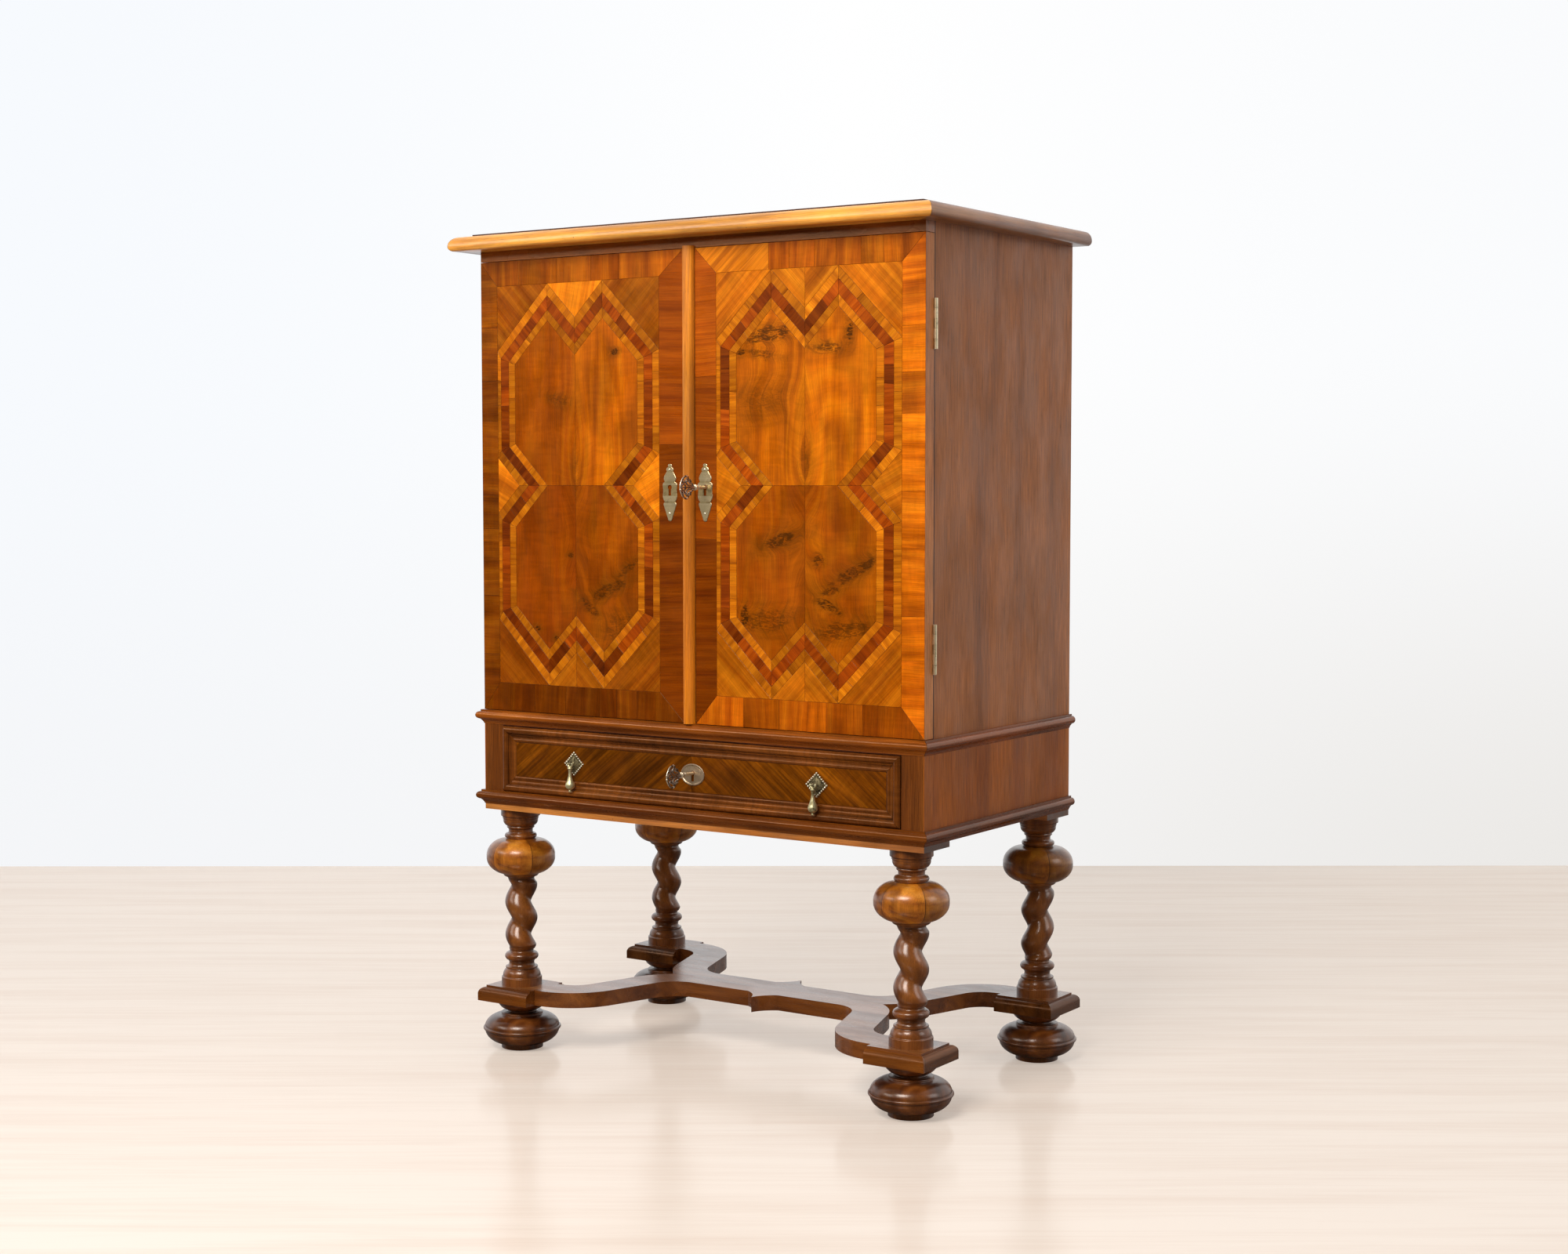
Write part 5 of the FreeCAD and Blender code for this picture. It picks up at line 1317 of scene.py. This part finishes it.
def makeKeyPlate(name, node, body, x, material, nailMaterial):
    shape = plateShape
    z, faceY = shape["z"], frontY / mm
    half = softened(plateRight)
    outline = [Vector((x + a, z + b)) for a, b in half] + [Vector((x - a, z + b)) for a, b in half[-2:0:-1]]
    nailY = faceY - shape["thickness"] + shape["nailSunk"]
    size = shape["nailRadius"], shape["nailHeight"]
    nails = [dome((x, nailY, z + rise), *size) for rise in shape["nails"]]
    addPiece(name + "Nails", *join(nails), nailMaterial, body, sharp=60)
    plate = plateWithHole(outline, keyholeOutline(x, z), faceY, shape["thickness"], shape["bevel"])
    made = addPiece(name, *plate, material, body, sharp=40)
    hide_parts(node)


# highlightLine is the thickness of the painted highlight line on the bow's front, against the rim.
keyShape = {"reach": 74.7, "bowLength": 43.0, "rim": 1.45, "rimPlay": 0.22, "bumps": 22, "scroll": 1.25,
            "highlightLine": 0.62, "shaft": 3.0, "collar": 2.3, "tip": 2.0, "bitFrom": 12.0, "bitTo": 3.5,
            "bitHalf": 1.3, "bitDrop": 12.6}
# Upper half of the bow's rim, from the front to the neck
bowUpper = lineUp((-19.2, 0), [[(-18.9, 4.4), (-16.6, 9.6), (-12.4, 14.8), (-6.6, 18.3), (-1.0, 19.1)],
                               [(2.6, 17.4), (4.4, 13.6)], (5.4, 12.6),
                               [(8.8, 12.6), (10.6, 10.2), (10.6, 7.8)], (11.6, 6.8),
                               [(14.6, 6.2), (16.0, 3.8), (19.6, 1.6)], (21.0, 0)], 0.9)
bowFrontCount = 23
bowScrolls = [
    [(16, 0), (10, 3.6), (4, 3.2), (-2, 7), (-3, 12), (1, 14.6), (3, 11), (0.4, 9.6)],
    [(-17, 0), (-13, 4.6), (-7, 4.4), (-3, 0.6)],
    [(-9, 16), (-12.5, 11), (-9, 7), (-6, 9.5), (-7.4, 11.6)],
    [(5.6, 11.6), (6.4, 8.2), (9.8, 7.4)],
]
bowSpine = ((-19, 1.2), (-7, 1.5), (6, 1.3), (21, 2.2))    # place along the bow, radius
# place along the bow, height and radius, above and below the middle
lobeBalls = ((-19.3, 3.4, 2.1), (-0.8, 18.7, 2.3), (5.6, 12.4, 1.6), (11.4, 6.8, 1.6))
innerBalls = ((-6, 0, 2.6), (5, 0, 1.8), (-14.4, -9.0, 1.5), (-14.4, 9.0, 1.5))


def makeKeyPiece(name, node, body, x, z, material, piercedMaterial):
    shape = keyShape
    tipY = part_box(node)[1].y / mm
    middle = frontY / mm - shape["reach"] + shape["bowLength"] / 2
    neck = frontY / mm - shape["reach"] + shape["bowLength"]

    def flat(a, b):
        return Vector((x, middle + a, z + b))

    def ball(a, b, r):
        angles = [math.radians(t) for t in range(-80, 81, 16)]
        points, faces = turnedMesh([Vector((r * math.cos(t), r * 0.8 * math.sin(t))) for t in angles], 14)
        return [(x + pz, middle + a + px, z + b + py) for px, py, pz in points], faces

    bow = list(bowUpper) + [Vector((a, -b)) for a, b in bowUpper[-2:0:-1]]
    waves = [math.cos(math.tau * i * shape["bumps"] / len(bow)) for i in range(len(bow))]
    radii = [shape["rim"] * (1.0 + shape["rimPlay"] * wave) for wave in waves]
    pierced = [tube([flat(a, b) for a, b in bow], radii, True)]
    for scroll in bowScrolls:
        line = lineUp(scroll[0], [scroll[1:]], 0.8)
        count = len(line)
        widths = [shape["scroll"] * (0.75 + 0.5 * math.sin(math.pi * i / count)) for i in range(count)]
        for side in (-1, 1):
            pierced.append(tube([flat(a, b * side) for a, b in line], widths, sides=8))
    pierced.append(tube([flat(a, 0) for a, r in bowSpine], [r for a, r in bowSpine], sides=12))
    pierced += [ball(*spot) for spot in innerBalls]

    # A bright line on the front half of the rim, which is a painted highlight, and balls on its lobes
    front = [Vector((a, -b)) for a, b in bowUpper[bowFrontCount - 1:0:-1]] + list(bowUpper[:bowFrontCount])
    highlightLine = [flat(a * 1.02 - 0.5, b * 1.03) for a, b in front]
    parts = [tube(highlightLine, [shape["rim"] * shape["highlightLine"]] * len(front), sides=8)]
    parts += [ball(a, b * side, r) for a, b, r in lobeBalls for side in (-1, 1)]

    # Baluster neck, then the plain shaft with a second collar and its tip
    s, collar, tip = shape["shaft"], shape["shaft"] + shape["collar"], shape["tip"]
    bitY = (tipY - shape["bitFrom"], tipY - shape["bitTo"])
    profile = lineUp((1.0, 2.0), [
        (s + 0.2, 1.2), (collar, 0.4, collar, -1.6), (s + 0.4, -3.0), (s - 0.3, -5.0), (s, -8.0),
        (s + 1.5, -8.8, s + 1.5, -10.0), (s, -10.8), (s, neck - bitY[1]), (tip, neck - bitY[1]),
        (tip, neck - tipY)], 0.8)
    parts.append(frontTurned(softened(profile)[::-1], (x, neck, z), 28))
    t = shape["bitHalf"]
    corners = ((-t, bitY[0]), (t, bitY[0]), (t, bitY[1]), (-t, bitY[1]))
    block = [(x + dx, y, z + dz) for dz in (0, -shape["bitDrop"]) for dx, y in corners]
    parts.append((block,
                  [(0, 1, 2, 3), (7, 6, 5, 4), (0, 4, 5, 1), (1, 5, 6, 2), (2, 6, 7, 3), (3, 7, 4, 0)]))

    made = addPiece(name, *join(parts), material, body, sharp=50)
    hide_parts(node)
    scrollsName = name.replace("Pierced", "Scrolls")
    addPiece(scrollsName, *join(pierced), piercedMaterial, body, sharp=50)


handleShape = {
    "x": 260.0, "z": 545.0, "half": 22.5, "border": 2.4, "bead": 1.9, "beadHeight": 2.4, "beads": 6,
    "axisY": -255.6, "axisZ": 546.0,
}
# How far in from the plate's border, and how high
plateSteps = ((1.4, 0), (1.4, 0.8), (2.0, 1.1), (3.4, 1.2), (4.2, 0.9), (5.4, 0.9), (6.4, 2.2))
plateCrown = [(6.4, 4.4), (4.6, 4.6)]    # half width and height


def diamondCorners(x, z, half):
    return [Vector((x + half, z)), Vector((x, z + half)), Vector((x - half, z)), Vector((x, z - half))]


def diamondRings(x, z, faceY, levels):
    # Four-cornered rings from the plate's edge in to its middle.
    points = []
    for half, height in levels:
        points += [(a, faceY - height, b) for a, b in diamondCorners(x, z, half)]
    faces = gridFaces(len(levels), 4)
    faces.append(tuple(range((len(levels) - 1) * 4, len(levels) * 4)))
    return points, faces


def makeHandlePlates(material, beadMaterial):
    parts, beads = [], []
    shape, faceY = handleShape, drawerFaceY
    edge = shape["half"] - shape["border"]
    levels = [(edge - depth, height) for depth, height in plateSteps] + plateCrown
    for side in (-1, 1):
        x, z = side * shape["x"], shape["z"]
        parts.append(diamondRings(x, z, faceY, levels))
        corners = diamondCorners(x, z, edge - 0.1)
        for i, corner in enumerate(corners):
            for j in range(shape["beads"]):
                spot = corner.lerp(corners[(i + 1) % 4], j / shape["beads"])
                beads.append(dome((spot.x, faceY - 0.9, spot.y), shape["bead"], shape["beadHeight"], 12))
        stem = lineUp((3.6, 3.8), [(3.4, 5.2, 2.2, 6.2), (2.0, faceY - shape["axisY"])], 0.6)
        parts.append(frontTurned(stem, (x, faceY, shape["axisZ"]), 20))
        eye = [Vector((x - 2.1 + 4.2 * i / 6, shape["axisY"], shape["axisZ"])) for i in range(7)]
        parts.append(tube(eye, [1.6, 2.7, 3.1, 3.2, 3.1, 2.7, 1.6], sides=16))
    made = addPiece("handlePlatesDiamond", *join(parts), material, "drawer", sharp=35)
    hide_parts("handle_plates")
    addPiece("handlePlateBeads", *join(beads), beadMaterial, "drawer", sharp=60)


pullShape = {"ring": 5.2, "wire": 1.7, "pin": 0.9, "openFrom": 15.0, "sweep": 210.0, "steps": 30}
# The drop below its ring, as radius and height
pullLine = lineUp((3.0, 1.0), [
    (3.2, 0), (4.6, -1.7, 3.4, -3.5), (3.0, -5.2), (2.5, -9.7),
    [(3.3, -15.7), (5.4, -23.2), (7.9, -29.2), (8.5, -32.9), (7.2, -37.1), (3.6, -40.1), (2.0, -41.1)],
    (2.9, -42.8, 1.0, -45.1)], outlineStep)


def makePull(name, node, x, material):
    # The ring is a stirrup, open at the top so that it clears the stem when it swings.
    ring, wire, steps = pullShape["ring"], pullShape["wire"], pullShape["steps"]
    axisY, axisZ = handleShape["axisY"], handleShape["axisZ"]
    top = axisZ - ring - wire + 0.6
    line = softened([Vector((radius, top + z)) for radius, z in pullLine])[::-1]
    drop = turnedMesh(line, 36, (x, axisY))
    turns = [math.radians(pullShape["openFrom"] - pullShape["sweep"] * i / steps) for i in range(steps + 1)]
    bow = [Vector((x + ring * math.cos(a), axisY, axisZ + ring * math.sin(a))) for a in turns]
    loop = tube(bow, [wire * 0.7] + [wire] * (steps - 1) + [wire * 0.7], sides=12)
    pin = tube([Vector((x - ring, axisY, axisZ)), Vector((x + ring, axisY, axisZ))], [pullShape["pin"]] * 2)
    made = addPiece(name, *join([drop, loop, pin]), material, node, sharp=45)
    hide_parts(node)


ovalShape = {
    "x": 3.5, "z": 544.0, "keyZ": 546.5, "steps": 72, "field": (21.6, 15.6), "thickness": 1.2, "bevel": 0.2,
    # half length, half height, how high
    "levels": ((25.0, 19.0, 0.0), (25.0, 19.0, 1.6), (24.2, 18.2, 2.5), (23.0, 17.0, 2.5),
               (22.0, 16.0, 1.4), (21.4, 15.4, 1.2)),
}


def makeOvalPlate(material):
    shape = ovalShape
    x, z, faceY = shape["x"], shape["z"], drawerFaceY
    turns = [math.tau * i / shape["steps"] for i in range(shape["steps"])]
    points = [(x + a * math.cos(t), faceY - height, z + b * math.sin(t))
              for a, b, height in shape["levels"] for t in turns]
    faces = gridFaces(len(shape["levels"]), len(turns))
    a, b = shape["field"]
    fieldLine = [Vector((x + a * math.cos(t), z + b * math.sin(t))) for t in turns]
    plate = plateWithHole(fieldLine, keyholeOutline(x, shape["keyZ"]), faceY, shape["thickness"],
                          shape["bevel"])
    made = addPiece("drawerKeyPlateOval", *join([(points, faces), plate]), material, "drawer", sharp=40)
    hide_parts("drawer_key_plate")


plateBrass, handleBrass, handleField = metal("plateBrass"), metal("handleBrass"), metal("handleField")
beadBrass, keyMetal, keyScrollMetal = metal("beadBrass"), metal("keyMetal"), metal("keyScrollMetal")
keyPlaces = {"door": (plateShape["right"], plateShape["z"]), "drawer": (ovalShape["x"], ovalShape["keyZ"])}
for side in ("right", "left"):
    node = f"door_{side}_key_plate"
    makeKeyPlate("keyPlate" + side.title(), node, f"door_{side}", plateShape[side], plateBrass, beadBrass)
makeHandlePlates(handleField, beadBrass)
makePull("dropPullRight", "drop_pull_right", handleShape["x"], handleBrass)
makePull("dropPullLeft", "drop_pull_left", -handleShape["x"], handleBrass)
makeOvalPlate(metal("ovalMetal"))
for kind, (x, z) in keyPlaces.items():
    node = kind + "_key"
    makeKeyPiece(kind + "KeyPierced", node, node, x, z, keyMetal, keyScrollMetal)
print("brass and keys made")


# Drawer panel: two leaves laid slantwise and turned over at the middle

drawerPanel = {"middle": 0.0, "body": "drawer", "frameWidth": 28.5, "slant": -38,
               "tones": {-1: 0.25, 1: 0.75}}
panelLook = {
    **fieldLook, "dark": (0.066, 0.015, 0.001), "mid": (0.150, 0.038, 0.001), "light": (0.25, 0.070, 0.002),
    "bands": (3.4, 56.0, 56.0), "bandWarp": 1.1, "rings": 0.03, "ringScale": (2.0, 20.0, 20.0),
    "ringCount": 60.0, "clouds": 0.40, "cloudScale": (6.0, 11.0, 11.0), "fibre": 0.34,
    "fibreScale": (9.0, 230.0, 230.0), "rough": 0.30, "toneSpread": 0.2,
}
low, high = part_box("drawer_front_frame")
width = drawerPanel["frameWidth"]
reach, bottom, top = high.x / mm - width, low.z / mm + width, high.z / mm - width
leaves = []
for side, tone in drawerPanel["tones"].items():
    corners = [(0, bottom), (side * reach, bottom), (side * reach, top), (0, top)]
    leaves.append(leaf(corners, drawerPanel["slant"], tone, flip=side < 0))
panelWood = wood("drawerPanelVeneer", panelLook, "veneer", pieceLook=True)
layVeneer("drawerPanelVeneer", drawerPanel, leaves, panelWood, drawerFaceY)
print("drawer panel laid")
